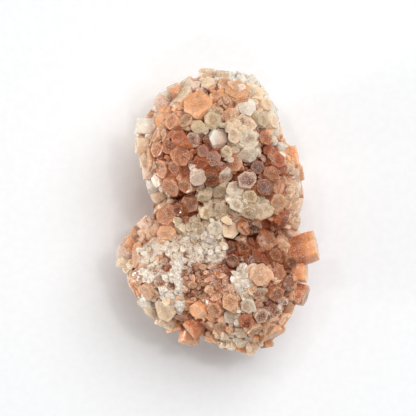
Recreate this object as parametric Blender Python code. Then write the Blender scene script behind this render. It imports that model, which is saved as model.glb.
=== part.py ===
"""Aragonite star cluster: six-sided prisms that radiate from six growth centres and interlock.

The cluster lies flat, as it is found on a table: +Z is up, +Y runs along its length towards the
round crown, and +X is the side with the shoulder. The origin is the middle of its footprint, level
with the ends of the four downward crystals that it rests on. The model is in metres.
"""
import math
import random
from collections import namedtuple

import bmesh
import bpy
from mathutils import Matrix, Vector

MM = 0.001

# Driving dimensions, in mm.
# The cluster is six overlapping lobes. Each has its growth centre and its reach along X, Y and Z,
# measured to the mean surface of the crystal ends.
Lobe = namedtuple("Lobe", "centre reach")
LOBES = {
    "crown_top": Lobe(Vector((0.6, 19.9, 18.4)), Vector((14.6, 14.8, 16.4))),
    "crown_side": Lobe(Vector((-3.6, 14.8, 18.6)), Vector((15.6, 15.6, 17.0))),
    "shoulder": Lobe(Vector((7.2, 5.0, 17.4)), Vector((13.2, 16.8, 14.6))),
    "waist": Lobe(Vector((-1.0, -1.6, 16.8)), Vector((15.2, 13.4, 13.4))),
    "left_hip": Lobe(Vector((-9.5, -13.9, 16.2)), Vector((13.2, 14.2, 14.0))),
    "right_hip": Lobe(Vector((5.2, -17.4, 17.2)), Vector((14.6, 17.2, 15.6))),
}
ROOT_SHARE = 0.84           # the ground between the crystals lies at this share of the reach
CRYSTAL_DEPTH = 6.2         # from an end face to where the prism starts inside the ground
BASE_SHARE = 0.80           # a prism's width where it starts, as a share of its end face
CORNER_SPREAD = 0.13        # how far the corners of an end face stray from a true hexagon
LEAN = 9.0                  # most degrees that a hidden crystal leans away from its growth centre's ray
FRONT_LEAN = 20.0           # the same for the crystals of the front, which grew more at odds
PROUD = 1.3                 # how far an end on the front stands above or below the mean surface
SIDE_SCATTER = 1.8          # how much further the ends of the outline are scattered in height
SWELL = 0.03                # how far the other ends stray from the mean surface, as a share of it
CROWDING = 0.43             # least gap between two crystals' axes, as a share of both widths

# Widths of the crystals that fill the sides and the underside, tried from large to small.
FILL_WIDTHS = (7.6, 6.4, 5.4)
CRUST_WIDTHS = (4.4, 3.6)   # the crust of the front is smaller crystals
FRONT_RAY = 0.35            # rays that rise more than this meet the front, whose crystals are listed
TRIES = 5.0                 # places tried for every crystal that a lobe could hold
INSIDE = 0.97               # an end nearer another growth centre than this share is buried

# The cluster rests on these downward crystals: X and Y of each end face, and its width.
FEET = ((-7.5, 19.5, 5.6), (5.0, 13.0, 5.4), (-10.5, -15.0, 5.8), (8.5, -19.0, 5.8))
FOOT_LENGTH = 11.0
FLOOR_GAP = 0.9             # nothing but the feet comes closer to the table than this

# The crust of small crystals on the front: the middle and the half widths of each patch.
CRUST_PATCHES = ((-11.5, -12.5, 10.0, 8.5), (-4.0, -18.0, 6.0, 5.6))

# Crystals of the front, seen from above: X and Y of the middle of the end face, then its width.
CROWN_ENDS = (
    (-5.2, 26.9, 8.0), (-3.0, 32.2, 3.2), (1.6, 31.9, 3.4), (4.4, 30.2, 5.4), (7.8, 30.4, 3.4),
    (9.4, 28.6, 3.2), (2.5, 26.4, 3.4), (7.0, 26.1, 4.6), (10.4, 25.6, 3.2), (11.0, 22.7, 3.9),
    (7.3, 21.9, 3.9), (-12.4, 28.0, 3.6), (-15.3, 22.9, 4.6), (-11.8, 22.2, 3.8), (-8.4, 22.6, 3.6),
    (-5.2, 20.9, 3.6), (-1.8, 22.4, 4.0), (-15.9, 18.9, 3.4), (-15.6, 15.2, 3.8), (-10.2, 18.4, 3.4),
    (-6.4, 17.7, 3.8), (-12.6, 16.0, 3.2), (-9.4, 13.9, 4.8), (-4.0, 14.9, 3.4), (0.0, 17.9, 5.4),
    (4.0, 18.6, 3.4), (7.4, 18.2, 4.2), (11.4, 18.4, 3.6), (7.5, 13.9, 4.5), (12.4, 15.2, 3.4), (1.8, 14.5, 3.1),
    (-1.4, 13.0, 3.8), (4.0, 11.8, 4.2), (14.6, 12.8, 4.2), (-14.4, 10.4, 4.0), (-11.2, 10.8, 3.2),
    (-8.0, 10.2, 4.3), (-3.9, 11.2, 3.2), (-5.2, 7.8, 3.8), (-2.0, 7.8, 3.8), (-12.0, 5.8, 4.6),
    (-8.4, 6.0, 4.0), (-7.3, 2.4, 4.7), (-10.4, 0.6, 3.2),
)
SHOULDER_ENDS = (
    (1.8, 8.6, 3.9), (0.0, 4.8, 4.1), (3.8, 5.4, 4.2), (7.0, 7.9, 4.1), (9.4, 10.8, 3.4),
    (13.0, 9.6, 4.3), (11.2, 6.0, 4.2), (14.9, 5.6, 3.6), (17.2, 8.2, 4.2), (14.8, 2.2, 4.0),
    (4.3, 1.0, 3.7), (7.2, -0.4, 3.6), (7.6, 3.6, 3.2), (11.0, -0.2, 5.0), (-3.6, 3.2, 3.2),
    (-3.4, -0.4, 3.2), (0.4, 0.6, 3.4), (2.8, -4.6, 4.6), (-0.9, -4.2, 3.6), (6.1, -4.6, 3.2),
    (9.0, -4.0, 3.2), (16.0, -2.6, 3.9),
)
RIGHT_HIP_ENDS = (
    (12.0, -6.8, 5.0), (16.6, -7.1, 4.8), (18.9, -9.6, 3.4), (6.2, -8.4, 3.4), (2.4, -8.6, 3.2), (3.2, -12.0, 3.2),
    (9.8, -10.8, 4.0), (14.2, -10.8, 3.4), (18.0, -12.0, 3.8), (5.3, -15.4, 5.0), (10.3, -15.6, 5.2),
    (14.9, -15.1, 4.2), (17.6, -18.0, 3.6), (10.6, -20.6, 4.2), (14.4, -20.4, 3.6), (7.0, -23.2, 3.7),
    (14.0, -24.1, 3.8), (10.6, -25.8, 3.6), (6.8, -27.0, 3.4), (9.2, -29.8, 3.8), (12.6, -29.6, 3.4),
    (2.8, -22.4, 3.8), (3.2, -26.3, 4.0), (5.4, -30.2, 3.4), (-0.6, -20.6, 3.2), (-1.4, -24.4, 3.6),
    (-5.4, -24.9, 4.6), (0.4, -29.0, 3.6), (-3.2, -28.6, 3.7), (1.6, -32.0, 3.2),
)
LEFT_HIP_ENDS = (
    (-14.0, -24.6, 5.6), (-18.2, -20.0, 4.2), (-9.8, -26.6, 4.1), (-7.6, -30.0, 4.6),
    (-21.0, -11.8, 4.4), (-19.6, -6.6, 3.4), (-16.8, -3.8, 3.6), (-13.0, -0.6, 5.0),
    (-9.8, -4.8, 3.8), (-5.4, -4.0, 3.2),
)
# Crystals that make the outline, seen from above, clockwise from the top of the crown.
OUTLINE_ENDS = (
    (-3.0, 35.0, 3.8), (1.8, 34.9, 3.4), (5.9, 34.6, 3.4), (9.2, 33.1, 3.6), (11.6, 30.0, 3.6),
    (13.6, 26.6, 3.4), (14.5, 23.6, 3.6), (15.5, 20.2, 3.8), (15.8, 16.9, 3.4),
    (20.0, 9.4, 3.8), (21.0, 5.2, 3.8), (20.3, 0.9, 4.8), (19.8, -3.2, 3.8), (19.8, -6.6, 3.6),
    (17.2, -24.2, 3.6), (16.0, -27.2, 3.6), (15.3, -30.9, 4.0),
    (12.2, -33.9, 3.6), (8.8, -34.9, 3.6), (5.2, -34.8, 3.4), (1.6, -34.0, 3.4), (-1.6, -32.5, 3.6),
    (-11.0, -30.0, 3.8), (-14.2, -29.0, 4.4), (-16.7, -26.2, 3.8),
    (-18.4, -23.0, 3.6), (-21.4, -19.8, 4.4), (-22.9, -16.2, 3.8), (-25.0, -11.6, 5.0),
    (-24.0, -7.6, 3.4), (-21.9, -4.8, 3.6), (-19.6, -2.2, 3.4), (-16.3, 0.2, 4.0),
    (-15.7, 3.9, 3.6), (-17.7, 7.2, 3.6), (-18.9, 10.6, 4.0), (-20.0, 13.8, 3.4), (-20.3, 17.2, 4.0),
    (-20.0, 21.1, 4.2), (-17.9, 24.3, 3.4), (-15.5, 26.8, 3.2), (-14.4, 29.2, 3.2),
    (-11.6, 30.8, 4.0), (-8.2, 32.6, 3.6),
)
# Some crystals of the outline jut out: X, Y and Z of the end, its width, and its heading in degrees.
JUTTING_ENDS = (
    (24.3, -8.4, 20.5, 6.6, 18.0), (21.9, -14.7, 19.4, 5.4, -8.0), (21.8, -21.1, 17.6, 4.6, -14.0),
    (19.6, 13.4, 19.0, 5.0, 6.0), (-7.4, -33.0, 15.4, 4.9, -97.0),
)
JUTTING_RISE = 0.12         # how much a jutting crystal's axis rises for its run

Crystal = namedtuple("Crystal", "end axis width length")


def clear_scene():
    for existing in list(bpy.data.objects):
        bpy.data.objects.remove(existing)


def make_aragonite():
    """Iron-stained aragonite: peach to terracotta, waxy."""
    material = bpy.data.materials.new("aragonite")
    material.use_nodes = True
    shader = material.node_tree.nodes["Principled BSDF"]
    shader.inputs["Base Color"].default_value = (0.62, 0.32, 0.19, 1.0)
    shader.inputs["Roughness"].default_value = 0.35
    shader.inputs["Metallic"].default_value = 0.0
    return material


def scaled_distance(point, lobe):
    """Distance from a growth centre, where 1 is the mean surface of the lobe."""
    offset = point - lobe.centre
    return Vector(offset[i] / lobe.reach[i] for i in range(3)).length


def front_surface(x, y):
    """The highest point of the mean surface above (x, y), and the lobe that it belongs to.

    Outside every lobe it is beside the nearest one, level with its growth centre.
    """
    best = None
    for lobe in LOBES.values():
        level = scaled_distance(Vector((x, y, lobe.centre.z)), lobe)
        height = lobe.centre.z + lobe.reach.z * math.sqrt(max(0.0, 1.0 - level * level))
        rank = (level < 1.0, height if level < 1.0 else -level)
        if best is None or rank > best[0]:
            best = (rank, Vector((x, y, height)), lobe)
    return best[1], best[2]


def chance_at(x, y, z=0.0):
    """Random numbers that belong to one place, so that no crystal changes its neighbours'."""
    return random.Random(f"{x:.1f} {y:.1f} {z:.1f}")


def leaning(axis, rng, most=LEAN):
    """The axis tipped by up to this many degrees in a random direction."""
    side = axis.orthogonal().normalized()
    side.rotate(Matrix.Rotation(rng.uniform(0.0, math.tau), 3, axis))
    return (axis + side * math.tan(math.radians(rng.uniform(0.0, most)))).normalized()


def shown_crystals():
    """The crystals of the front, which stand out along their growth rays at uneven heights."""
    crystals = []
    for x, y, width in CROWN_ENDS + SHOULDER_ENDS + RIGHT_HIP_ENDS + LEFT_HIP_ENDS + OUTLINE_ENDS:
        rng = chance_at(x, y)
        end, lobe = front_surface(x, y)
        axis = leaning((end - lobe.centre).normalized(), rng, FRONT_LEAN)
        end.z += rng.uniform(-1.0, 1.0) * (PROUD + SIDE_SCATTER * (1.0 - axis.z))
        crystals.append(Crystal(end, axis, width, CRYSTAL_DEPTH))
    for x, y, z, width, heading in JUTTING_ENDS:
        turn = math.radians(heading)
        axis = Vector((math.cos(turn), math.sin(turn), JUTTING_RISE)).normalized()
        crystals.append(Crystal(Vector((x, y, z)), axis, width, CRYSTAL_DEPTH + width))
    return crystals


def foot_crystals():
    down = Vector((0.0, 0.0, -1.0))
    return [Crystal(Vector((x, y, 0.0)), down, width, FOOT_LENGTH) for x, y, width in FEET]


def spiral_rays(count):
    """Directions spread evenly over a sphere."""
    golden_angle = math.pi * (3.0 - math.sqrt(5.0))
    for step in range(count):
        height = 1.0 - (2 * step + 1) / count
        ring = math.sqrt(1.0 - height * height)
        angle = golden_angle * step
        yield Vector((ring * math.cos(angle), ring * math.sin(angle), height))


def in_crust(point):
    """True on the part of the front that small crystals cover."""
    if point.z < LOBES["left_hip"].centre.z:
        return False
    return any(((point.x - x) / half_x) ** 2 + ((point.y - y) / half_y) ** 2 < 1.0
               for x, y, half_x, half_y in CRUST_PATCHES)


def has_room(end, width, crystals):
    return all((end - other.end).length > CROWDING * (width + other.width) for other in crystals)


def fill_lobe(lobe, width, crust, crystals):
    """Add crystals of one width wherever the lobe's mean surface still has room for them."""
    rng = chance_at(lobe.centre.x, lobe.centre.y, width)
    area = 4.0 * math.pi * (lobe.reach.x * lobe.reach.y * lobe.reach.z) ** (2 / 3)
    others = [other for other in LOBES.values() if other is not lobe]
    for ray in spiral_rays(int(TRIES * area / width ** 2)):
        swell = 1.0 + rng.uniform(-SWELL, SWELL)
        end = lobe.centre + Vector(ray[i] * lobe.reach[i] * swell for i in range(3))
        lowest_corner = end.z - width * math.hypot(ray.x, ray.y) / 2
        if in_crust(end) != crust or (ray.z > FRONT_RAY and not crust):
            continue
        if lowest_corner < FLOOR_GAP or any(scaled_distance(end, other) < INSIDE for other in others):
            continue
        if has_room(end, width, crystals):
            axis = leaning((end - lobe.centre).normalized(), rng)
            crystals.append(Crystal(end, axis, width, CRYSTAL_DEPTH))


def all_crystals():
    crystals = foot_crystals() + shown_crystals()
    for width in sorted(FILL_WIDTHS + CRUST_WIDTHS, reverse=True):
        for lobe in LOBES.values():
            fill_lobe(lobe, width, width in CRUST_WIDTHS, crystals)
    return crystals


def prism_mesh(crystal):
    """One six-sided crystal that narrows towards its root, with slightly uneven corners."""
    rng = chance_at(*crystal.end)
    radius = crystal.width / math.sqrt(math.pi)
    mesh = bmesh.new()
    bmesh.ops.create_cone(mesh, cap_ends=True, segments=6, radius1=radius * BASE_SHARE * MM,
                          radius2=radius * MM, depth=crystal.length * MM)
    corners = [1.0 + rng.uniform(-CORNER_SPREAD, CORNER_SPREAD) for _ in range(6)]
    for vert in mesh.verts:
        corner = round(math.degrees(math.atan2(vert.co.y, vert.co.x)) / 60.0) % 6
        vert.co.xy *= corners[corner]
    spin = Matrix.Rotation(rng.uniform(0.0, math.tau / 6), 4, "Z")
    facing = crystal.axis.to_track_quat("Z", "Y").to_matrix().to_4x4()
    middle = crystal.end - crystal.axis * crystal.length / 2
    mesh.transform(Matrix.Translation(middle * MM) @ facing @ spin)
    return mesh


def ground_mesh(lobe):
    """The faceted ground that one lobe's crystals stand in."""
    mesh = bmesh.new()
    bmesh.ops.create_icosphere(mesh, subdivisions=1, radius=1.0)
    bmesh.ops.scale(mesh, vec=lobe.reach * ROOT_SHARE * MM, verts=mesh.verts)
    bmesh.ops.translate(mesh, vec=lobe.centre * MM, verts=mesh.verts)
    return mesh


def make_object(name, mesh, collection):
    data = bpy.data.meshes.new(name)
    mesh.to_mesh(data)
    mesh.free()
    made = bpy.data.objects.new(name, data)
    collection.objects.link(made)
    return made


def grow_together(cluster, meshes):
    """Join the meshes into the cluster, as crystals that grew into each other."""
    grown = bpy.data.collections.new("grown_together")
    bpy.context.scene.collection.children.link(grown)
    for number, mesh in enumerate(meshes):
        piece = make_object(f"grown_{number:03d}", mesh, grown)
        piece.hide_render = True
        piece.display_type = "WIRE"
    union = cluster.modifiers.new("grown_together", "BOOLEAN")
    union.operation = "UNION"
    union.solver = "EXACT"
    union.operand_type = "COLLECTION"
    union.collection = grown
    graph = bpy.context.evaluated_depsgraph_get()
    joined = bpy.data.meshes.new_from_object(cluster.evaluated_get(graph))
    cluster.modifiers.remove(union)
    for piece in list(grown.objects):
        bpy.data.objects.remove(piece)
    bpy.data.collections.remove(grown)
    return joined


def shells_of(mesh):
    """The faces of each separate shell, the largest shell first."""
    unseen = set(mesh.faces)
    shells = []
    while unseen:
        edge_of_search = [unseen.pop()]
        shell = list(edge_of_search)
        while edge_of_search:
            face = edge_of_search.pop()
            around = {other for edge in face.edges for other in edge.link_faces} & unseen
            unseen -= around
            shell.extend(around)
            edge_of_search.extend(around)
        shells.append(shell)
    return sorted(shells, key=len, reverse=True)


def fill_pockets(mesh):
    """Delete the walls of pockets that are closed off between crystals, deep inside."""
    for pocket in shells_of(mesh)[1:]:
        verts = {vert for face in pocket for vert in face.verts}
        bmesh.ops.delete(mesh, geom=list(verts), context="VERTS")


def centre_footprint(mesh):
    """Move the cluster sideways until the middle of its box is over the origin."""
    for axis in (0, 1):
        places = [vert.co[axis] for vert in mesh.verts]
        middle = (min(places) + max(places)) / 2
        for vert in mesh.verts:
            vert.co[axis] -= middle


def build_cluster():
    grounds = [ground_mesh(lobe) for lobe in LOBES.values()]
    prisms = [prism_mesh(crystal) for crystal in all_crystals()]
    cluster = make_object("crystal_cluster", grounds.pop(0), bpy.context.scene.collection)
    joined = grow_together(cluster, grounds + prisms)
    mesh = bmesh.new()
    mesh.from_mesh(joined)
    fill_pockets(mesh)
    centre_footprint(mesh)
    mesh.to_mesh(joined)
    mesh.free()
    cluster.data = joined
    joined.materials.clear()
    joined.materials.append(make_aragonite())
    return cluster


clear_scene()
build_cluster()
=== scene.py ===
"""Looks of the aragonite star cluster: waxy six-sided crystals, a chalky crust and rusty ground.

Run as a script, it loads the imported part, grows the detailed crystals in place of the plain solid,
and sets a pale floor, soft light and a camera that looks straight down.
"""
import functools
import math
import random
from collections import namedtuple

import bmesh
import bpy
import numpy as np
from bpy.props import FloatProperty, FloatVectorProperty, IntProperty, PointerProperty
from bpy.types import NodeSocket, Operator, Panel, PropertyGroup
from mathutils import Matrix, Vector, noise
from mathutils.kdtree import KDTree


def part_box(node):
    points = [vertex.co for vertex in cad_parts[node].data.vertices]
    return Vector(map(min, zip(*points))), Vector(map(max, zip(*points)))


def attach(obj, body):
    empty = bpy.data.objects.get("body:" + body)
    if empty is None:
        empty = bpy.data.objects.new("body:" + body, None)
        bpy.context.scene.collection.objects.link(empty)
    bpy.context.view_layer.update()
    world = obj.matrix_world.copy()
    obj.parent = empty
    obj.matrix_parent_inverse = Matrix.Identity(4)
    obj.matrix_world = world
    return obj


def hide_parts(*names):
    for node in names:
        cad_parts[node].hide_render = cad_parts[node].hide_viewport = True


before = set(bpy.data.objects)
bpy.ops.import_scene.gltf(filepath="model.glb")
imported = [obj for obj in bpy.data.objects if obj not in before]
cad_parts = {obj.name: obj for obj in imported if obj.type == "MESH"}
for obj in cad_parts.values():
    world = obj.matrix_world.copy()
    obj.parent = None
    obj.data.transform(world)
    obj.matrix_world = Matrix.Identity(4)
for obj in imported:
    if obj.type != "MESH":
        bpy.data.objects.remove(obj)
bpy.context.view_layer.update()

bl_info = {
    "name": "Aragonite star cluster",
    "version": (1, 0, 0),
    "blender": (4, 5, 0),
    "location": "View3D > Sidebar > Aragonite",
    "description": "Grows an aragonite star cluster round its plain solid",
    "category": "Add Mesh",
}

NODE = "crystal_cluster"
BODY = "root"
MM = 0.001

# The plain solid's own growth, repeated in mm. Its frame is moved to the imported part's by part_shift.
Lobe = namedtuple("Lobe", "centre reach")
LOBES = {
    "crown_top": Lobe(Vector((0.6, 19.9, 18.4)), Vector((14.6, 14.8, 16.4))),
    "crown_side": Lobe(Vector((-3.6, 14.8, 18.6)), Vector((15.6, 15.6, 17.0))),
    "shoulder": Lobe(Vector((7.2, 5.0, 17.4)), Vector((13.2, 16.8, 14.6))),
    "waist": Lobe(Vector((-1.0, -1.6, 16.8)), Vector((15.2, 13.4, 13.4))),
    "left_hip": Lobe(Vector((-9.5, -13.9, 16.2)), Vector((13.2, 14.2, 14.0))),
    "right_hip": Lobe(Vector((5.2, -17.4, 17.2)), Vector((14.6, 17.2, 15.6))),
}
ROOT_SHARE = 0.84           # the ground between the crystals lies at this share of the reach
CRYSTAL_DEPTH = 6.2         # from an end face to where the prism starts inside the ground
BASE_SHARE = 0.80           # a prism's width where it starts, as a share of its end face
CORNER_SPREAD = 0.13        # how far the corners of an end face stray from a true hexagon
LEAN = 9.0                  # most degrees that a hidden crystal leans away from its growth ray
FRONT_LEAN = 20.0           # the same for the crystals of the front, which grew more at odds
PROUD = 1.3                 # how far an end on the front stands above or below the mean surface
SIDE_SCATTER = 1.8          # how much further the ends of the outline are scattered in height
SWELL = 0.03                # how far the other ends stray from the mean surface, as a share of it
CROWDING = 0.43             # least gap between two crystals' axes, as a share of both widths
FILL_WIDTHS = (7.6, 6.4, 5.4)
CRUST_WIDTHS = (4.4, 3.6)   # the crust of the front is smaller crystals
FRONT_RAY = 0.35            # rays that rise more than this meet the front, whose crystals are listed
TRIES = 5.0                 # places tried for every crystal that a lobe could hold
INSIDE = 0.97               # an end nearer another growth centre than this share is buried
FEET = ((-7.5, 19.5, 5.6), (5.0, 13.0, 5.4), (-10.5, -15.0, 5.8), (8.5, -19.0, 5.8))
FOOT_LENGTH = 11.0
FLOOR_GAP = 0.9             # nothing but the feet comes closer to the floor than this
CRUST_PATCHES = ((-11.5, -12.5, 10.0, 8.5), (-4.0, -18.0, 6.0, 5.6))
JUTTING_RISE = 0.12         # how steeply the jutting crystals rise
JUTTING_ORANGE = 4.6        # wider jutting crystals are orange, and the others rose

# The crystals of the front and of the outline, by finish: X and Y of the end face, then its width.
SHOWN_ENDS = {
    "peach": (
        (-19.6, -6.6, 3.4), (15.5, 20.2, 3.8), (21.0, 5.2, 3.8), (16.0, -27.2, 3.6), (-21.4, -19.8, 4.4),
        (-15.7, 3.9, 3.6), (-20.0, 13.8, 3.4), (-20.3, 17.2, 4.0), (-17.9, 24.3, 3.4), (-8.2, 32.6, 3.6),
        (20.3, 0.9, 4.8), (-21.9, -4.8, 3.6), (17.2, 8.2, 4.2), (-16.8, -3.8, 3.6), (10.3, -15.6, 5.2),
        (-12.4, 28.0, 3.6),
    ),
    "orange": (
        (-15.3, 22.9, 4.6), (15.3, -30.9, 4.0), (12.2, -33.9, 3.6), (5.2, -34.8, 3.4), (-1.6, -32.5, 3.6),
        (-11.0, -30.0, 3.8), (4.4, 30.2, 5.4), (-5.2, 26.9, 8.0), (-5.4, -24.9, 4.6),
    ),
    "mauve": (
        (-12.6, 16.0, 3.2), (-11.2, 10.8, 3.2), (-7.3, 2.4, 4.7), (14.9, -15.1, 4.2), (14.4, -20.4, 3.6),
        (-3.2, -28.6, 3.7), (-1.4, 13.0, 3.8), (11.4, 18.4, 3.6), (-9.8, -26.6, 4.1), (6.1, -4.6, 3.2),
    ),
    "plum": (
        (-2.0, 7.8, 3.8), (6.2, -8.4, 3.4), (18.0, -12.0, 3.8), (-4.0, 14.9, 3.4), (-10.4, 0.6, 3.2),
        (9.4, 10.8, 3.4), (11.2, 6.0, 4.2), (14.2, -10.8, 3.4),
    ),
    "rose": (
        (18.9, -9.6, 3.4), (-9.4, 13.9, 4.8), (14.9, 5.6, 3.6), (-8.4, 6.0, 4.0), (-7.6, -30.0, 4.6),
        (-15.6, 15.2, 3.8), (-1.4, -24.4, 3.6), (-13.0, -0.6, 5.0), (-12.0, 5.8, 4.6), (-14.4, 10.4, 4.0),
        (-11.8, 22.2, 3.8),
    ),
    "ringed": (
        (-6.4, 17.7, 3.8), (7.0, 7.9, 4.1), (14.0, -24.1, 3.8), (10.6, -25.8, 3.6),
    ),
    "orange_ringed": (
        (-8.0, 10.2, 4.3), (13.0, 9.6, 4.3), (12.0, -6.8, 5.0),
    ),
    "slate": (
        (9.0, -4.0, 3.2), (2.4, -8.6, 3.2), (3.2, -12.0, 3.2), (9.8, -10.8, 4.0), (17.6, -18.0, 3.6),
    ),
    "tan": (
        (-15.9, 18.9, 3.4), (-0.6, -20.6, 3.2), (1.6, 31.9, 3.4), (-8.4, 22.6, 3.6), (4.0, 11.8, 4.2),
        (14.8, 2.2, 4.0), (16.6, -7.1, 4.8), (0.4, -29.0, 3.6), (2.5, 26.4, 3.4), (-21.0, -11.8, 4.4),
        (12.6, -29.6, 3.4), (-16.3, 0.2, 4.0), (-18.2, -20.0, 4.2), (-24.0, -7.6, 3.4), (17.2, -24.2, 3.6),
        (2.8, -22.4, 3.8), (9.2, -29.8, 3.8),
    ),
    "blush": (
        (-5.2, 7.8, 3.8), (-17.7, 7.2, 3.6), (-18.9, 10.6, 4.0), (-22.9, -16.2, 3.8), (-19.6, -2.2, 3.4),
        (-15.5, 26.8, 3.2), (20.0, 9.4, 3.8), (19.8, -6.6, 3.6),
    ),
    "rust": (
        (16.0, -2.6, 3.9), (12.4, 15.2, 3.4), (-3.9, 11.2, 3.2), (14.6, 12.8, 4.2), (-10.2, 18.4, 3.4),
        (6.8, -27.0, 3.4),
    ),
    "cream": (
        (-3.0, 32.2, 3.2), (4.0, 18.6, 3.4), (11.0, -0.2, 5.0), (2.8, -4.6, 4.6), (1.6, -32.0, 3.2),
        (-14.0, -24.6, 5.6), (-3.0, 35.0, 3.8), (8.8, -34.9, 3.6), (1.6, -34.0, 3.4), (-14.2, -29.0, 4.4),
        (9.4, 28.6, 3.2), (7.8, 30.4, 3.4), (10.4, 25.6, 3.2), (7.3, 21.9, 3.9), (5.4, -30.2, 3.4),
        (-25.0, -11.6, 5.0), (10.6, -20.6, 4.2), (19.8, -3.2, 3.8),
    ),
    "ivory": (
        (-14.4, 29.2, 3.2), (1.8, 34.9, 3.4), (5.9, 34.6, 3.4), (9.2, 33.1, 3.6), (11.6, 30.0, 3.6),
        (13.6, 26.6, 3.4), (14.5, 23.6, 3.6), (-20.0, 21.1, 4.2), (-11.6, 30.8, 4.0), (7.0, 26.1, 4.6),
        (0.0, 17.9, 5.4), (15.8, 16.9, 3.4), (-18.4, -23.0, 3.6), (-16.7, -26.2, 3.8),
    ),
    "sage": (
        (1.8, 14.5, 3.1), (0.0, 4.8, 4.1), (7.6, 3.6, 3.2), (-3.6, 3.2, 3.2), (-3.4, -0.4, 3.2),
        (0.4, 0.6, 3.4), (-5.4, -4.0, 3.2), (-5.2, 20.9, 3.6), (-1.8, 22.4, 4.0), (-9.8, -4.8, 3.8),
        (7.2, -0.4, 3.6), (11.0, 22.7, 3.9),
    ),
    "milk": (
        (7.4, 18.2, 4.2), (3.8, 5.4, 4.2), (4.3, 1.0, 3.7), (-0.9, -4.2, 3.6), (7.0, -23.2, 3.7),
        (1.8, 8.6, 3.9), (7.5, 13.9, 4.5), (3.2, -26.3, 4.0),
    ),
    "chalk": (
        (5.3, -15.4, 5.0),
    ),
}
# Crystals of the outline that jut out: X, Y and Z of the end, its width, and its heading in degrees.
JUTTING_ENDS = (
    (24.3, -8.4, 20.5, 6.6, 18.0), (21.9, -14.7, 19.4, 5.4, -8.0), (21.8, -21.1, 17.6, 4.6, -14.0),
    (19.6, 13.4, 19.0, 5.0, 6.0), (-7.4, -33.0, 15.4, 4.9, -97.0),
)
# Small crystals of the front, which the plain solid leaves out: X, Y and width.
SMALL_ENDS = {
    "peach": ((-7.5, 31.6, 2.5), (-10.8, 26.9, 2.8), (-15.8, -2.6, 2.8), (9.8, -23.1, 2.6)),
    "blush": ((-6.0, 31.9, 2.5), (-14.5, 28.4, 2.4), (10.8, 13.4, 2.0)),
    "orange": ((0.6, 29.2, 2.6), (-2.0, 31.1, 2.2), (-11.8, 25.6, 2.0), (12.0, 19.1, 2.8),
               (6.8, -3.6, 2.2), (3.9, 28.3, 2.4), (5.0, -22.4, 2.4), (-7.3, -23.4, 3.0)),
    "ivory": ((2.5, 34.9, 2.6),),
    "milk": ((4.6, -1.8, 2.8),),
    "tan": ((1.7, 27.9, 2.2), (3.0, 31.4, 2.8), (-9.5, 24.1, 2.5)),
    "mauve": ((-13.3, 26.6, 2.8), (13.0, 13.4, 2.4), (-11.9, 19.2, 2.6), (-8.5, -2.4, 2.4),
              (0.0, -23.4, 2.5)),
    "sage": ((-4.8, 2.9, 2.4), (-2.8, 2.1, 2.6), (-4.0, 0.4, 2.6), (-1.8, -0.1, 2.4), (-5.8, 0.9, 2.2)),
}
# Crystals of the outline that lie on their side: X, Y and Z of the end, its width, its heading and its
# rise in degrees, and its finish.
FLANK_ENDS = (
    (-20.5, 21.3, 22.8, 4.2, 178.0, 0.0, "ivory"), (-20.6, 16.6, 23.2, 3.8, 181.0, 2.0, "cream"),
    (-19.7, 12.9, 23.8, 4.0, 180.0, -2.0, "cream"), (-18.9, 9.5, 24.0, 3.9, 187.0, -3.0, "blush"),
    (-17.9, 6.2, 23.6, 3.6, 196.0, 0.0, "ivory"), (-16.6, 3.0, 22.6, 3.4, 208.0, 4.0, "cream"),
    (-16.8, 11.4, 27.2, 3.2, 176.0, 30.0, "tan"), (-15.8, 7.4, 27.0, 3.0, 196.0, 28.0, "blush"),
    (-15.6, 28.4, 22.4, 3.3, 142.0, 14.0, "blush"), (-11.6, 31.4, 22.0, 3.6, 118.0, 10.0, "peach"),
    (-3.3, 35.5, 22.2, 3.5, 97.0, 2.0, "cream"), (0.8, 35.0, 22.8, 3.4, 84.0, 4.0, "cream"),
    (9.0, 29.8, 26.8, 4.6, 50.0, 46.0, "cream"), (13.6, 22.6, 25.6, 4.2, 14.0, 30.0, "cream"),
    (11.9, 26.8, 26.0, 3.8, 30.0, 34.0, "cream"),
    (3.4, 31.2, 30.4, 2.8, 100.0, 58.0, "peach"), (5.5, 30.5, 30.6, 2.6, 60.0, 62.0, "blush"),
    (4.7, 28.7, 30.8, 2.8, 280.0, 70.0, "orange"),
    (-21.5, -19.9, 18.6, 3.6, 214.0, 2.0, "orange"), (-25.2, -9.8, 17.6, 3.4, 168.0, 2.0, "blush"),
    (-17.6, -25.4, 18.6, 4.2, 224.0, 4.0, "cream"), (-13.6, -28.9, 18.0, 4.2, 244.0, 4.0, "cream"),
)
# What the hidden sides and the underside are grown from: the left and the top, and the right.
LEFT_MIX = ("cream", "peach", "tan", "orange", "peach", "blush", "cream", "orange", "mauve")
RIGHT_MIX = ("orange", "mauve", "orange", "rust", "rose", "rust", "mauve", "tan", "rust")
TOP_Y = 16.0                # where the top starts
NEIGHBOUR_SHARE = 0.5       # how often a hidden crystal takes the finish of the nearest shown one

# The pale parts of the front, whose gaps a sugary crust fills: the middle and the half widths of each.
PALE_ZONES = ((2.5, 0.9, 8.8, 5.9), (6.9, 18.0, 4.6, 6.2))
PALE_HEIGHT = 22.0          # lower crystals don't belong to them
PALE_MIX = ("sage", "cream", "sage", "tan", "milk")
SUGAR_LEVEL = -0.95         # where the sugary crust lies, from the mean surface
SUGAR_BLOCKS = ((1.7, 0.48), (0.8, 0.32))   # the size of its blocks, and how far they stand out
SUGAR_BORDER = 0.6          # the zone level where its border starts to sink
SUGAR_EDGE_DROP = 1.2       # and how deep it sinks

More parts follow.
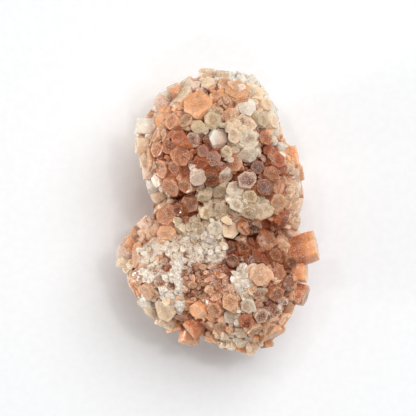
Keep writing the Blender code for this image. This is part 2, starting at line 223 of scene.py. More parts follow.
# Crystals that grew beside a larger one, parallel to it.
SIDE_SHARES = (0.30, 0.62)  # their width as a share of the larger crystal's
SIDE_PLACES = (0.44, 0.60)  # how far they stand from its axis, as a share of its width
SIDE_DROPS = (0.3, 2.6)     # how far their ends lie below its end face, beside a crystal of the next width
SIDE_DROP_WIDTH = 4.0
SIDE_LEAN = 22.0

# Small crystals in the gaps between the others.
SEED_WIDTHS = (2.6, 2.0, 1.5)
SEED_SINK = (0.93, 1.01)    # where their ends lie, as a share of the reach
SEED_LEAN = 34.0
SEED_TRIES = 4.0            # places tried for every one that a lobe could hold
SEED_DEPTH = 3.6
SEED_ROOM = 0.7             # least gap to the next end, as a share of their width
SEED_SEARCH = 6.0           # how far off their neighbours can be
SEED_PARENT = 2.9           # they take the finish of the nearest neighbour that is wider than this
DARK_FINISHES = ("mauve", "plum", "rose", "ringed", "orange_ringed", "slate", "rust")
DARK_SINK = 0.8             # how much deeper gap crystals of these finishes lie

# No crystal comes up through the end face of another.
FACE_SEARCH = 8.0           # how far off that one can be
FACE_COVER = 0.5            # ends deeper below its face than this are hidden
FACE_SHARE = 0.46           # the two are this far apart, as a share of the face's width
RIVAL_SHARE = 0.25          # and this much further, as a share of the other's width

# The crust of grains, by finish: the middle and the half widths of each zone.
CHALK_ZONES = ((-10.9, -13.2, 9.9, 8.3), (-4.0, -8.6, 5.6, 5.4), (-10.4, -20.6, 2.4, 5.2),
               (5.8, -17.2, 2.6, 4.7))
ROSY_ZONES = ((-4.0, -18.2, 6.4, 5.6),)
CRUST_ZONES = CHALK_ZONES + ROSY_ZONES
CRUST_FINISHES = ("chalk", "rosy")
# Reddish pits in the crust: the middle, the radius and the depth of each.
PITS = (
    (-13.4, -11.4, 1.6, 1.3), (-13.1, -13.9, 1.2, 1.4), (-14.6, -17.4, 1.7, 1.3), (-11.7, -18.7, 1.3, 1.4),
    (-15.9, -17.9, 1.2, 1.4), (-8.2, -10.6, 0.7, 1.2), (-8.1, -13.2, 0.8, 1.5), (-7.9, -15.6, 0.8, 1.4),
    (0.8, -17.4, 0.7, 1.8), (1.0, -19.2, 0.7, 1.8), (-6.0, -14.9, 0.7, 1.5), (2.2, -20.9, 0.7, 1.6),
    (-0.5, -21.4, 0.7, 1.5), (-16.0, -19.9, 1.0, 1.6),
)
PIT_RAGGEDNESS = (0.5, 0.7) # how ragged their borders are, and the size of the ragged parts
CRUST_SINK = 1.7            # how far the plain crust prisms drop, to leave room for the crust
CRUST_BASE = -0.45          # where the jammed blocks of the crust lie, from the mean surface
CRUST_LUMP = 0.9            # how high its lumps stand
CRUST_LUMP_SIZE = 4.2
CRUST_BLOCKS = ((2.5, 0.46), (1.1, 0.20))   # the size of the blocks, and how far they stand out
BLOCK_LEVEL = 0.6           # how much blocks differ in height
BLOCK_SLOPE = 1.6           # and how steeply their tops slope
BLOCK_KEYS = (9.0, 5.0)     # they set neighbouring blocks' random heights and slopes far apart
RIDGE_X = -9.0              # the chalky crust ends here in a ridge, beside the rosy crust
RIDGE_TOP = -9.6
RIDGE_BOTTOM = -27.0
RIDGE_TAPER = 1.5           # the length over which its ends run out
RIDGE_WIDTH = 1.5
RIDGE_STEEP = 0.4           # the share of that width on the side towards the rosy crust
RIDGE_BENDS = (0.3, 0.35, 2.5)      # its shift to the left, how far it bends, and the size of the bends
RIDGE_HEIGHT = 0.7
RIDGE_CALM = 0.6            # how much of the crust's relief is lost on its crest
CRUST_TOP = -8.0            # above it the crust turns greenish tan
CRUST_DETAIL = 6            # subdivisions of the sphere that the crust's sheet is cut from
CRUST_REACH = 1.35          # how far the sheet runs out under the crystals round the crust
CRUST_BORDER = 0.8          # the zone level where its border starts to sink
CRUST_EDGE_DROP = 2.0       # and how deep it sinks
SHEET_INSIDE = 0.93         # a sheet ends this deep inside another lobe, as a share of the reach
SHEET_VALUE = 0.5           # the sheets' "rim" and "tone" values at the height 0
CRUST_RIM_GAIN = 0.6        # how fast the crust's "rim" value grows with its height
TONE_GAIN = 0.5             # how much the "tone" of a sheet's blocks differs
PIT_ROSINESS = 2.0          # how rosy a pit is, for each mm of its depth
TOP_ROSINESS = 0.6          # how rosy the crust's top is
ROSY_DEPTH = 1.3            # the depth, stored in "place", that is wholly rosy

# Grains of the crust.
GRAIN_MIXES = {
    "chalk": {"chalk": 9, "cream": 1, "milk": 2},
    "top": {"chalk": 3, "sage": 6, "milk": 1},
    "rosy": {"rosy": 5, "peach": 2, "tan": 3, "mauve": 2, "chalk": 1},
}
GRAIN_DEPTH = 2.4
GRAIN_LEAN = 38.0
GRAIN_TRIES = 0.62          # grains for every one that a lobe could hold
GRAIN_WIDTHS = (0.6, 1.5)   # as a share of the mean width
GRAIN_JITTER = 0.5          # how far they stray from an even spread, likewise
GRAIN_RISES = (-0.15, 0.35) # how far their ends stand out of the blocks
GRAIN_INSIDE = 0.985        # ends nearer another growth centre than this share are left out
GRAIN_PIT = 0.35            # grains in deeper pits than this are rosy
GRAIN_RIDGE = 0.6           # the crest of the ridge, above this share, has no grains
ROSY_DROP = 0.5             # how much lower the rosy crust lies
ROSY_GROWTH = 1.25          # how much wider its grains are
ROSY_RISES = (0.1, 0.6)     # and how much further they stand out

# The shape of a single crystal.
PRISM_SIDES = 6
LARGE_WIDTH = 3.0           # from this width on they have ledges, chips and relief on their ends
PLAIN_WIDTH = 1.45          # narrower ones are plain
LEAST_EVEN = 3.0            # narrower ones are squeezed out of their even shape
SQUEEZE = (0.55, 1.0)       # and by how much
END_SLOPE = 13.0            # most degrees that an end face slopes
SLOPE_DEPTH = 0.5           # the share of the length that slopes with it
FACET_ODDS = (0.40, 0.30, 0.20, 0.10)       # how often an end has 0, 1, 2 or 3 sloping facets
FACET_SLOPES = (16.0, 48.0)         # their slope, in degrees
FACET_PLACES = (0.10, 0.40)         # where they start, as a share of the width from the axis
SIDE_BEVELS = (0.02, 0.08)          # how far the long edges are cut back, as a share of the width
LONG_EDGE = 1.0                     # the least rise of a long edge
SHARP_EDGE = 0.5                    # faces that point up more than this have a rounded edge
RIM_WIDTHS = (0.6, 1.2)             # how much the rounded edge differs from the given width
WIDEST_RIM = 0.07                   # and the most that it is, as a share of the crystal's width
LEDGE_COUNTS = (1, 3)               # the fewest and the most ledges
FIRST_LEDGE = (0.5, 1.2)            # how deep the first ledge lies
NEXT_LEDGE = (0.5, 1.3)             # and the next one below it
LEDGE_STEPS = (0.01, 0.05)          # how much wider the crystal is below a ledge
CUT_GAP = 1e-5                      # points nearer a cut than this lie on it
UPRIGHT = 100.0                     # how much more facing up counts than height for an end face
CHIPS = 0.035                       # how far a chipped corner strays
CHIP_DEPTH = 0.6                    # edges above this depth are chipped
CHIP_LENGTH = 0.5                   # if they are longer than this
EDGE = 1.25                         # stored on the edges of an end face, as "rim"
SMOOTH_ANGLES = {"crystals": 34.0, "sheet": 24.0, "ground": 60.0}   # steeper edges stay sharp
GROUND_DETAIL = 4
GROUND_LUMPS = ((2.0, 0.5), (0.8, 0.2))     # the size of the ground's lumps, and their height

# The relief of an end face, from its edge inwards. Each ring has its size as a share of the ring
# outside it, the range of its rise in dish depths, and its "rim" value.
Ring = namedtuple("Ring", "share rises rim")
FLAT_END = (Ring(0.72, (-0.3, 0.2), 0.72), Ring(0.55, (-0.3, 0.3), 0.40))
HOLLOW_END = (Ring(0.86, (-0.25, -0.25), 0.86), Ring(0.84, (-0.6, -1.2), 0.72),
              Ring(0.50, (-0.3, -0.3), 0.36))
TERRACED_END = (Ring(0.80, (0.0, 0.0), 0.80), Ring(0.93, (0.4, 0.9), 0.74),
                Ring(0.62, (0.0, 0.0), 0.46), Ring(0.90, (0.3, 0.7), 0.41))
END_KINDS = ((0.56, FLAT_END), (0.68, HOLLOW_END), (1.0, TERRACED_END))     # up to this share of all
# The one ring of a smaller crystal's end, and the "rim" value of a grain's.
SMALL_END_SHARE = 0.66
SMALL_END_RISES = (-0.04, 0.08)
SMALL_END_RIMS = (0.6, 0.9)
GRAIN_RIM = 0.6

Crystal = namedtuple("Crystal", "end axis width length")
Grown = namedtuple("Grown", "crystal finish")

# How each finish is made: the share of the end face that its core fills, how bright the painted
# highlight on its edges is, how frosted it is, how strongly iron stains its end and its sides, and how
# much of its colour its root keeps, whose dark is iron stain and painted shade.
Look = namedtuple("Look", "core_size edge frost stain side root_paleness")
LOOKS = {
    "peach": Look(0.66, 0.60, 0.25, 0.28, 0.25, 0.25),
    "orange": Look(0.62, 0.60, 0.15, 0.45, 0.35, 0.22),
    "mauve": Look(0.66, 0.75, 0.12, 0.30, 0.60, 0.10),
    "plum": Look(0.70, 0.55, 0.05, 0.25, 0.60, 0.10),
    "rose": Look(0.66, 0.75, 0.18, 0.40, 0.60, 0.12),
    "ringed": Look(0.80, 1.00, 0.15, 0.10, 0.70, 0.12),
    "orange_ringed": Look(0.54, 0.80, 0.12, 0.35, 0.70, 0.12),
    "slate": Look(0.74, 0.65, 0.06, 0.15, 0.60, 0.12),
    "tan": Look(0.70, 0.60, 0.20, 0.20, 0.35, 0.20),
    "blush": Look(0.62, 0.70, 0.40, 0.20, 0.25, 0.25),
    "rust": Look(0.70, 0.50, 0.05, 0.60, 0.80, 0.10),
    "cream": Look(0.68, 0.70, 0.40, 0.12, 0.16, 0.35),
    "ivory": Look(0.66, 0.60, 0.35, 0.04, 0.05, 0.50),
    "sage": Look(0.72, 0.60, 0.30, 0.08, 0.16, 0.62),
    "milk": Look(0.60, 0.70, 0.70, 0.05, 0.10, 0.60),
    "chalk": Look(0.80, 0.50, 0.50, 0.10, 0.25, 0.45),
    "rosy": Look(0.80, 0.35, 0.35, 0.30, 0.45, 0.30),
}


def colour(name, description, default):
    return FloatVectorProperty(name=name, description=description, default=default,
                               subtype="COLOR", size=3, min=0.0, max=1.0)


def length(name, description, default, low, high):
    return FloatProperty(name=name, description=description, default=default,
                         unit="LENGTH", min=low, max=high, precision=5)


class ClusterSizes(PropertyGroup):
    """Sizes of the fine detail, in metres."""
    rim_width: length("Rim width", "Rounded edge round an end face", 0.00018, 0.00005, 0.0006)
    ledge_height: length("Ledge height", "Height of a growth ledge", 0.00014, 0.00002, 0.0005)
    dish_depth: length("Dish depth", "How far an end face is hollowed", 0.00016, 0.0, 0.0006)
    grain_width: length("Grain width", "Mean width of a crust grain", 0.00125, 0.0004, 0.002)
    side_crystals: IntProperty(name="Side crystals", description="Crystals beside each large one",
                               default=3, min=0, max=6)


class ClusterColours(PropertyGroup):
    """Colours of the crystals' end faces, sides and roots, the rims partly painted glow and the roots partly
    painted shade.
    """
    peach_core: colour("Peach core", "Middle of a peach end face", (0.74, 0.37, 0.18))
    peach_rim: colour("Peach rim", "Edge of a peach end face", (0.88, 0.53, 0.32))
    orange_core: colour("Orange core", "Middle of an orange end face", (0.73, 0.335, 0.155))
    orange_rim: colour("Orange rim", "Edge of an orange end face", (0.91, 0.455, 0.215))
    mauve_core: colour("Mauve core", "Middle of a mauve end face", (0.30, 0.120, 0.068))
    mauve_rim: colour("Mauve rim", "Edge of a mauve end face", (0.54, 0.205, 0.085))
    plum_core: colour("Plum core", "Middle of a plum end face", (0.140, 0.036, 0.012))
    plum_rim: colour("Plum rim", "Edge of a plum end face", (0.33, 0.095, 0.022))
    rose_core: colour("Rose core", "Middle of a rose end face", (0.38, 0.140, 0.055))
    rose_rim: colour("Rose rim", "Edge of a rose end face", (0.67, 0.29, 0.14))
    ring_core: colour("Ring core", "Dark middle of a ringed end face", (0.26, 0.095, 0.050))
    ring_rim: colour("Ring rim", "Pale ring of a ringed end face", (0.66, 0.42, 0.29))
    orange_ring: colour("Orange ring", "Ring of an orange ringed end face", (0.45, 0.155, 0.055))
    slate_core: colour("Slate core", "Middle of a grey end face", (0.14, 0.052, 0.028))
    slate_rim: colour("Slate rim", "Edge of a grey end face", (0.28, 0.105, 0.050))
    tan_core: colour("Tan core", "Middle of a tan end face", (0.49, 0.24, 0.12))
    tan_rim: colour("Tan rim", "Edge of a tan end face", (0.71, 0.38, 0.20))
    blush_core: colour("Blush core", "Middle of a blush end face", (0.72, 0.42, 0.29))
    blush_rim: colour("Blush rim", "Edge of a blush end face", (0.95, 0.71, 0.56))
    rust_core: colour("Rust core", "Middle of a rusty end face", (0.25, 0.052, 0.020))
    rust_rim: colour("Rust rim", "Edge of a rusty end face", (0.47, 0.130, 0.046))
    cream_core: colour("Cream core", "Middle of a cream end face", (0.71, 0.49, 0.30))
    cream_rim: colour("Cream rim", "Edge of a cream end face", (0.91, 0.67, 0.45))
    ivory_core: colour("Ivory core", "Middle of an ivory end face", (0.91, 0.80, 0.655))
    ivory_rim: colour("Ivory rim", "Edge of an ivory end face", (0.97, 0.91, 0.80))
    sage_core: colour("Sage core", "Middle of a sage end face", (0.44, 0.29, 0.15))
    sage_rim: colour("Sage rim", "Edge of a sage end face", (0.64, 0.48, 0.30))
    milk_core: colour("Milk core", "Middle of a milky end face", (0.59, 0.42, 0.28))
    milk_rim: colour("Milk rim", "Edge of a milky end face", (0.89, 0.74, 0.57))
    chalk_core: colour("Chalk core", "Low parts of the chalky crust", (0.66, 0.50, 0.36))
    chalk_rim: colour("Chalk rim", "High parts of the chalky crust", (0.94, 0.87, 0.76))
    rosy_core: colour("Rosy core", "Low parts of the rosy crust", (0.40, 0.14, 0.058))
    rosy_rim: colour("Rosy rim", "High parts of the rosy crust", (0.79, 0.40, 0.24))
    ridge: colour("Ridge", "Pale ridge of the crust", (0.76, 0.70, 0.62))
    iron: colour("Iron stain", "Stain that runs down the sides", (0.56, 0.155, 0.040))
    # Iron stain, and painted shade as well: the crevices and deep roots get this dark colour where shade
    # falls.
    root: colour("Root", "Deep red-brown between the crystals", (0.34, 0.070, 0.022))
    frost: colour("Frost", "Fine white coating", (0.88, 0.77, 0.64))
    floor: colour("Floor", "Pale floor", (0.918, 0.930, 0.942))


def sizes():
    return bpy.context.scene.cluster_sizes


def colours():
    return bpy.context.scene.cluster_colours


# Growth of the crystals, in mm

def scaled_distance(point, lobe):
    """Distance from a growth centre, where 1 is the mean surface of the lobe."""
    offset = point - lobe.centre
    return Vector(offset[i] / lobe.reach[i] for i in range(3)).length


def front_surface(x, y):
    """The highest point of the mean surface above (x, y), and the lobe that it belongs to."""
    best = None
    for lobe in LOBES.values():
        level = scaled_distance(Vector((x, y, lobe.centre.z)), lobe)
        height = lobe.centre.z + lobe.reach.z * math.sqrt(max(0.0, 1.0 - level * level))
        rank = (level < 1.0, height if level < 1.0 else -level)
        if best is None or rank > best[0]:
            best = (rank, Vector((x, y, height)), lobe)
    return best[1], best[2]


def chance_at(x, y, z=0.0):
    """Random numbers that belong to one place, so that no crystal changes its neighbours'."""
    return random.Random(f"{x:.1f} {y:.1f} {z:.1f}")


def leaning(axis, rng, most=LEAN):
    """The axis tipped a few degrees in a random direction."""
    side = axis.orthogonal().normalized()
    side.rotate(Matrix.Rotation(rng.uniform(0.0, math.tau), 3, axis))
    return (axis + side * math.tan(math.radians(rng.uniform(0.0, most)))).normalized()


def front_crystal(x, y, width, depth):
    """A crystal of the front, which stands out along its growth ray at an uneven height."""
    rng = chance_at(x, y)
    end, lobe = front_surface(x, y)
    axis = leaning((end - lobe.centre).normalized(), rng, FRONT_LEAN)
    end.z += rng.uniform(-1.0, 1.0) * (PROUD + SIDE_SCATTER * (1.0 - axis.z))
    return Crystal(end, axis, width, depth)


def listed_crystals(listed, depth):
    """Crystals of the front, from the places of their ends by finish."""
    return [Grown(front_crystal(x, y, width, depth), finish)
            for finish, ends in listed.items() for x, y, width in ends]


def lying_axis(heading, climb):
    """The direction of a crystal that lies on its side, by its heading in degrees."""
    turn = math.radians(heading)
    return Vector((math.cos(turn), math.sin(turn), climb)).normalized()


def shown_crystals():
    """The large crystals of the front and of the outline."""
    grown = listed_crystals(SHOWN_ENDS, CRYSTAL_DEPTH)
    for x, y, z, width, heading in JUTTING_ENDS:
        axis = lying_axis(heading, JUTTING_RISE)
        finish = "orange" if width > JUTTING_ORANGE else "rose"
        grown.append(Grown(Crystal(Vector((x, y, z)), axis, width, CRYSTAL_DEPTH + width), finish))
    return grown


def flank_crystals():
    """The crystals that lie on their side in the outline."""
    grown = []
    for x, y, z, width, heading, rise, finish in FLANK_ENDS:
        axis = lying_axis(heading, math.tan(math.radians(rise)))
        grown.append(Grown(Crystal(Vector((x, y, z)), axis, width, CRYSTAL_DEPTH), finish))
    return grown


def spiral_rays(count):
    """Directions spread evenly over a sphere."""
    golden_angle = math.pi * (3.0 - math.sqrt(5.0))
    for step in range(count):
        height = 1.0 - (2 * step + 1) / count
        ring = math.sqrt(1.0 - height * height)
        angle = golden_angle * step
        yield Vector((ring * math.cos(angle), ring * math.sin(angle), height))


def zone_level(point, zones):
    """0 at the middle of the nearest zone, 1 on its border, more outside."""
    return min(((point.x - x) / half_x) ** 2 + ((point.y - y) / half_y) ** 2
               for x, y, half_x, half_y in zones)


def in_zone(point, zones):
    return zone_level(point, zones) < 1.0


def in_crust(point):
    """True on the part of the front that small crystals cover."""
    return point.z >= LOBES["left_hip"].centre.z and in_zone(point, CRUST_PATCHES)


def in_pale_zone(point):
    return point.z > PALE_HEIGHT and in_zone(point, PALE_ZONES)


def in_another(point, lobe, level):
    """True if the point lies deeper inside another lobe than a level, where 1 is its mean surface."""
    return any(scaled_distance(point, other) < level for other in LOBES.values() if other is not lobe)


def lobe_point(lobe, ray, share=1.0):
    """The point of a lobe in one direction, at a share of its reach."""
    return lobe.centre + Vector(ray[i] * lobe.reach[i] * share for i in range(3))


def lobe_rays(lobe, width, tries):
    """Directions for a number of tries at every crystal of one width that the lobe could hold."""
    area = 4.0 * math.pi * (lobe.reach.x * lobe.reach.y * lobe.reach.z) ** (2 / 3)
    return spiral_rays(int(tries * area / width ** 2))


def fill_lobe(lobe, width, crust, crystals):
    """Add crystals of one width wherever the lobe's mean surface still has room for them."""
    rng = chance_at(lobe.centre.x, lobe.centre.y, width)
    for ray in lobe_rays(lobe, width, TRIES):
        end = lobe_point(lobe, ray, 1.0 + rng.uniform(-SWELL, SWELL))
        lowest_corner = end.z - width * math.hypot(ray.x, ray.y) / 2
        if in_crust(end) != crust or (ray.z > FRONT_RAY and not crust):
            continue
        if lowest_corner < FLOOR_GAP or in_another(end, lobe, INSIDE):
            continue
        if all((end - other.end).length > CROWDING * (width + other.width) for other in crystals):
            axis = leaning((end - lobe.centre).normalized(), rng)
            crystals.append(Crystal(end, axis, width, CRYSTAL_DEPTH))


def nearest(end, grown):
    """The one whose end face is nearest."""
    return min(grown, key=lambda other: (other.crystal.end - end).length)


def hidden_finish(end, shown):
    """A finish for a hidden crystal: its nearest shown neighbour's, or one from its side's mix."""
    rng = chance_at(end.x, end.y, end.z)
    finish = nearest(end, shown).finish
    if in_pale_zone(end):
        return rng.choice(PALE_MIX)
    if rng.random() > NEIGHBOUR_SHARE:
        finish = rng.choice(LEFT_MIX if end.x < 0.0 or end.y > TOP_Y else RIGHT_MIX)
    return "cream" if finish in ("sage", "milk") else finish


def crust_kind(point):
    """The finish of the crust at a place."""
    rosy = point.x > RIDGE_X and in_zone(point, ROSY_ZONES)
    return "rosy" if rosy or not in_zone(point, CHALK_ZONES) else "chalk"


@functools.cache
def solid_crystals():
    """The crystals of the plain solid, each with its finish."""
    down = Vector((0.0, 0.0, -1.0))
    feet = [Crystal(Vector((x, y, 0.0)), down, width, FOOT_LENGTH) for x, y, width in FEET]
    shown = shown_crystals()
    crystals = feet + [grown.crystal for grown in shown]
    listed = len(crystals)
    for width in sorted(FILL_WIDTHS + CRUST_WIDTHS, reverse=True):
        for lobe in LOBES.values():
            fill_lobe(lobe, width, width in CRUST_WIDTHS, crystals)
    grown = shown + [Grown(foot, hidden_finish(foot.end, shown)) for foot in feet]
    for crystal in crystals[listed:]:
        if in_crust(crystal.end) and in_zone(crystal.end, CRUST_ZONES):
            finish = crust_kind(crystal.end)
        else:
            finish = hidden_finish(crystal.end, shown)
        grown.append(Grown(crystal, finish))
    return [sunk(item, CRUST_SINK) if item.finish in CRUST_FINISHES else item for item in grown]


def sunk(item, drop):
    """The same crystal, dropped along its axis."""
    crystal = item.crystal
    return item._replace(crystal=crystal._replace(end=crystal.end - crystal.axis * drop))


class Neighbours:
    """Finds the crystals round a place."""

    def __init__(self, grown):
        self.grown = grown
        self.tree = KDTree(len(grown))
        for number, item in enumerate(grown):
            self.tree.insert(item.crystal.end, number)
        self.tree.balance()

    def near(self, place, radius):
        return [self.grown[number] for _, number, _ in self.tree.find_range(place, radius)]

    def spoils_a_face(self, crystal, own=None):
        """True if the crystal would come up through the end face of another one."""
        for item in self.near(crystal.end, FACE_SEARCH):
            other = item.crystal
            if other is own:
                continue
            offset = crystal.end - other.end
            along = offset.dot(other.axis)
            across = (offset - other.axis * along).length
            if along > -FACE_COVER and across < FACE_SHARE * other.width + RIVAL_SHARE * crystal.width:
                return True
        return False


def side_crystals(grown, neighbours):
    """Smaller crystals that grew parallel to the large ones, against their sides."""
    added = []
    for item in grown:
        parent = item.crystal
        if item.finish in CRUST_FINISHES:
            continue
        rng = chance_at(parent.end.x, parent.end.y, parent.end.z + parent.width)
        side = parent.axis.orthogonal().normalized()
        for _ in range(sizes().side_crystals):
            width = parent.width * rng.uniform(*SIDE_SHARES)
            turned = Matrix.Rotation(rng.uniform(0.0, math.tau), 3, parent.axis) @ side
            drop = rng.uniform(*SIDE_DROPS) * parent.width / SIDE_DROP_WIDTH
            end = parent.end + turned * parent.width * rng.uniform(*SIDE_PLACES) - parent.axis * drop
            crystal = Crystal(end, leaning(parent.axis, rng, SIDE_LEAN), width, parent.length - drop)
            if end.z - width / 2 > FLOOR_GAP and not neighbours.spoils_a_face(crystal, parent):
                added.append(Grown(crystal, item.finish))
    return added


def gap_finish(end, near):
    """A gap crystal's finish: its nearest large neighbour's, or rust where it has none."""
    large = [other for other in near if other.crystal.width > SEED_PARENT]
    finish = nearest(end, large).finish if large else "rust"
    return "sage" if finish in DARK_FINISHES and in_pale_zone(end) else finish


def gap_crystals(grown):
    """Small crystals in the gaps that are left between the others."""
    added = []
    for width in SEED_WIDTHS:
        neighbours = Neighbours(grown + added)
        for lobe in LOBES.values():
            rng = chance_at(lobe.centre.x, lobe.centre.y, width)
            for ray in lobe_rays(lobe, width, SEED_TRIES):
                share = rng.uniform(*SEED_SINK)
                end = lobe_point(lobe, ray, share)
                if end.z - width < FLOOR_GAP or in_another(end, lobe, share):
                    continue
                axis = leaning((end - lobe.centre).normalized(), rng, SEED_LEAN)
                crystal = Crystal(end, axis, width, SEED_DEPTH)
                if in_crust(end) or neighbours.spoils_a_face(crystal):
                    continue
                near = neighbours.near(end, SEED_SEARCH)
                if any((end - other.crystal.end).length < SEED_ROOM * width for other in near):
                    continue
                item = Grown(crystal, gap_finish(end, near))
                added.append(sunk(item, DARK_SINK) if item.finish in DARK_FINISHES else item)
    return added


def all_crystals():
    """Every crystal but the crust's grains."""
    grown = solid_crystals() + listed_crystals(SMALL_ENDS, SEED_DEPTH) + flank_crystals()
    grown += side_crystals(solid_crystals(), Neighbours(grown))
    return grown + gap_crystals(grown)


# The crust

def block_height(place):
    """Height of jammed crystal blocks, each with its own level and slope, and a number for the block."""
    level_key, slope_key = BLOCK_KEYS
    centre = noise.voronoi(place)[1][0]
    number = noise.cell(centre * level_key)
    slope = noise.cell_vector(centre * slope_key) - Vector((0.5, 0.5, 0.5))
    return number * BLOCK_LEVEL + BLOCK_SLOPE * slope.dot(place - centre), number


def stacked_blocks(point, blocks, height=0.0):
    """A height with coarse and fine blocks on top of it, and a number for the finest block."""
    for size, share in blocks:
        level, number = block_height(point / size)
        height += level * share
    return height, number


def pit_depth(point):
    """How far the pits sink the crust here."""
    amount, size = PIT_RAGGEDNESS
    ragged = 1.0 + amount * noise.noise(point / size)
    deepest = 0.0
    for x, y, radius, depth in PITS:
        away = math.hypot(point.x - x, point.y - y) / radius * ragged
        deepest = max(deepest, depth * max(0.0, 1.0 - away * away))
    return deepest


def ridge_share(point):
    """1 on the crest of the ridge, 0 off it, with a steep side towards the rosy crust."""
    shift, bend, size = RIDGE_BENDS
    along = min(1.0, max(0.0, min(RIDGE_TOP - point.y, point.y - RIDGE_BOTTOM)) / RIDGE_TAPER)
    across = point.x - RIDGE_X + shift + bend * noise.noise(Vector((0.0, point.y / size, 0.0)))
    across /= RIDGE_WIDTH * (RIDGE_STEEP if across > 0.0 else 1.0)
    return along * math.exp(-across * across)


def crust_offset(point):
    """How far the crust stands out from the mean surface, and the number of the block."""
    level = CRUST_BASE + CRUST_LUMP * noise.noise(point / CRUST_LUMP_SIZE) - pit_depth(point)
    offset, number = stacked_blocks(point, CRUST_BLOCKS, level)
    if crust_kind(point) == "rosy":
        offset -= ROSY_DROP
    ridge = ridge_share(point)
    return offset * (1.0 - RIDGE_CALM * ridge) + RIDGE_HEIGHT * ridge, number


def grain_finish(kind, point, rng):
    """The crust is mostly chalky or rosy, with some grains of other finishes among them."""
    mix = GRAIN_MIXES["top" if kind == "chalk" and point.y > CRUST_TOP else kind]
    return rng.choices(list(mix), mix.values())[0]


def crust_grains():
    """Grains of the crust: crystals about a millimetre wide that lean every way."""
    grains = []
    mean = sizes().grain_width / MM
    for lobe in LOBES.values():
        rng = chance_at(lobe.centre.x, lobe.centre.y, mean)
        for ray in lobe_rays(lobe, mean, GRAIN_TRIES):
            width = mean * rng.uniform(*GRAIN_WIDTHS)
            jitter = Vector(rng.uniform(-GRAIN_JITTER, GRAIN_JITTER) * mean for _ in range(3))
            end = lobe_point(lobe, ray) + jitter
            if end.z < lobe.centre.z or zone_level(end, CRUST_ZONES) > 1.0:
                continue
            if in_another(end, lobe, GRAIN_INSIDE) or ridge_share(end) > GRAIN_RIDGE:
                continue
            outward = (end - lobe.centre).normalized()
            offset, _ = crust_offset(end)
            kind = "rosy" if pit_depth(end) > GRAIN_PIT else crust_kind(end)
            end += outward * (offset + rng.uniform(*GRAIN_RISES))
            if crust_kind(end) == "rosy":
                width *= ROSY_GROWTH
                end += outward * rng.uniform(*ROSY_RISES)
            crystal = Crystal(end, leaning(outward, rng, GRAIN_LEAN), width, GRAIN_DEPTH)
            grains.append(Grown(crystal, grain_finish(kind, end, rng)))
    return grains


def lobe_sheet(mesh, lobe, zones, reach):
    """Add a thin sheet on the front of a lobe, over the zones, and give its vertices."""
    ball = bmesh.ops.create_icosphere(mesh, subdivisions=CRUST_DETAIL, radius=1.0)["verts"]
    bmesh.ops.scale(mesh, vec=lobe.reach, verts=ball)
    bmesh.ops.translate(mesh, vec=lobe.centre, verts=ball)
    spare = [vert for vert in ball if vert.co.z < lobe.centre.z or zone_level(vert.co, zones) > reach or
             in_another(vert.co, lobe, SHEET_INSIDE)]
    bmesh.ops.delete(mesh, geom=spare, context="VERTS")
    return [vert for vert in ball if vert.is_valid]


def sink_border(point, zones, start, reach, drop):
    """How far the border of a sheet sinks at this point."""
    border = max(0.0, zone_level(point, zones) - start) / (reach - start)
    return drop * border ** 2


def sugar_sheet():
    """Fine sugary crust that fills the gaps of the pale parts, just below the end faces."""
    mesh = bmesh.new()
    rim, tone, _ = value_layers(mesh)
    for lobe in LOBES.values():
        for vert in lobe_sheet(mesh, lobe, PALE_ZONES, 1.0):
            outward = (vert.co - lobe.centre).normalized()
            rise, number = stacked_blocks(vert.co, SUGAR_BLOCKS)
            vert[rim] = SHEET_VALUE + rise
            vert[tone] = SHEET_VALUE + number * TONE_GAIN
            sink = sink_border(vert.co, PALE_ZONES, SUGAR_BORDER, 1.0, SUGAR_EDGE_DROP)
            vert.co += outward * (SUGAR_LEVEL + rise - sink)
    return finish_mesh("gap_sugar", mesh, "sheet")


def crust_rosiness(point):
    """How rosy the crust is: wholly beyond the ridge, and partly in the pits and at the top."""
    rosiness = 1.0 if crust_kind(point) == "rosy" else min(1.0, pit_depth(point) * PIT_ROSINESS)
    at_top = point.y > CRUST_TOP and point.x < RIDGE_X
    return max(rosiness, TOP_ROSINESS if at_top else 0.0)


def crust_sheet():
    """The jammed blocks under the grains, as one rough sheet, coloured by height and block."""
    mesh = bmesh.new()
    rim, tone, place = value_layers(mesh)
    for lobe in LOBES.values():
        for vert in lobe_sheet(mesh, lobe, CRUST_ZONES, CRUST_REACH):
            outward = (vert.co - lobe.centre).normalized()
            offset, number = crust_offset(vert.co)
            ridge = ridge_share(vert.co)
            vert[rim] = max(SHEET_VALUE + offset * CRUST_RIM_GAIN, EDGE * ridge)
            vert[tone] = SHEET_VALUE + number * TONE_GAIN
            vert[place] = (0.0, 0.0, ROSY_DEPTH * crust_rosiness(vert.co) * (1.0 - ridge))
            sink = sink_border(vert.co, CRUST_ZONES, CRUST_BORDER, CRUST_REACH, CRUST_EDGE_DROP)
            vert.co += outward * (offset - sink)
    return finish_mesh("crust_blocks", mesh, "sheet")


# Shapes of the crystals

def value_layers(mesh):
    """The values that the materials read from each point: its rim, its tone and its place."""
    layers = mesh.verts.layers
    return layers.float.new("rim"), layers.float.new("tone"), layers.float_vector.new("place")


def plain_prism(crystal, rng):
    """Six uneven sides that narrow towards the root, with the end face at the height 0."""
    radius = crystal.width / math.sqrt(math.pi)
    mesh = bmesh.new()
    bmesh.ops.create_cone(mesh, cap_ends=True, segments=PRISM_SIDES, radius1=radius * BASE_SHARE,
                          radius2=radius, depth=crystal.length)
    corners = [1.0 + rng.uniform(-CORNER_SPREAD, CORNER_SPREAD) for _ in range(PRISM_SIDES)]
    for vert in mesh.verts:
        turn = math.degrees(math.atan2(vert.co.y, vert.co.x)) / (360.0 / PRISM_SIDES)
        vert.co.xy *= corners[round(turn) % PRISM_SIDES]
    if crystal.width < LEAST_EVEN:
        squeeze = rng.uniform(*SQUEEZE)
        bmesh.ops.scale(mesh, vec=(squeeze, 1.0 / squeeze ** 0.5, 1.0), verts=mesh.verts)
    bmesh.ops.translate(mesh, vec=(0.0, 0.0, -crystal.length / 2), verts=mesh.verts)
    return mesh


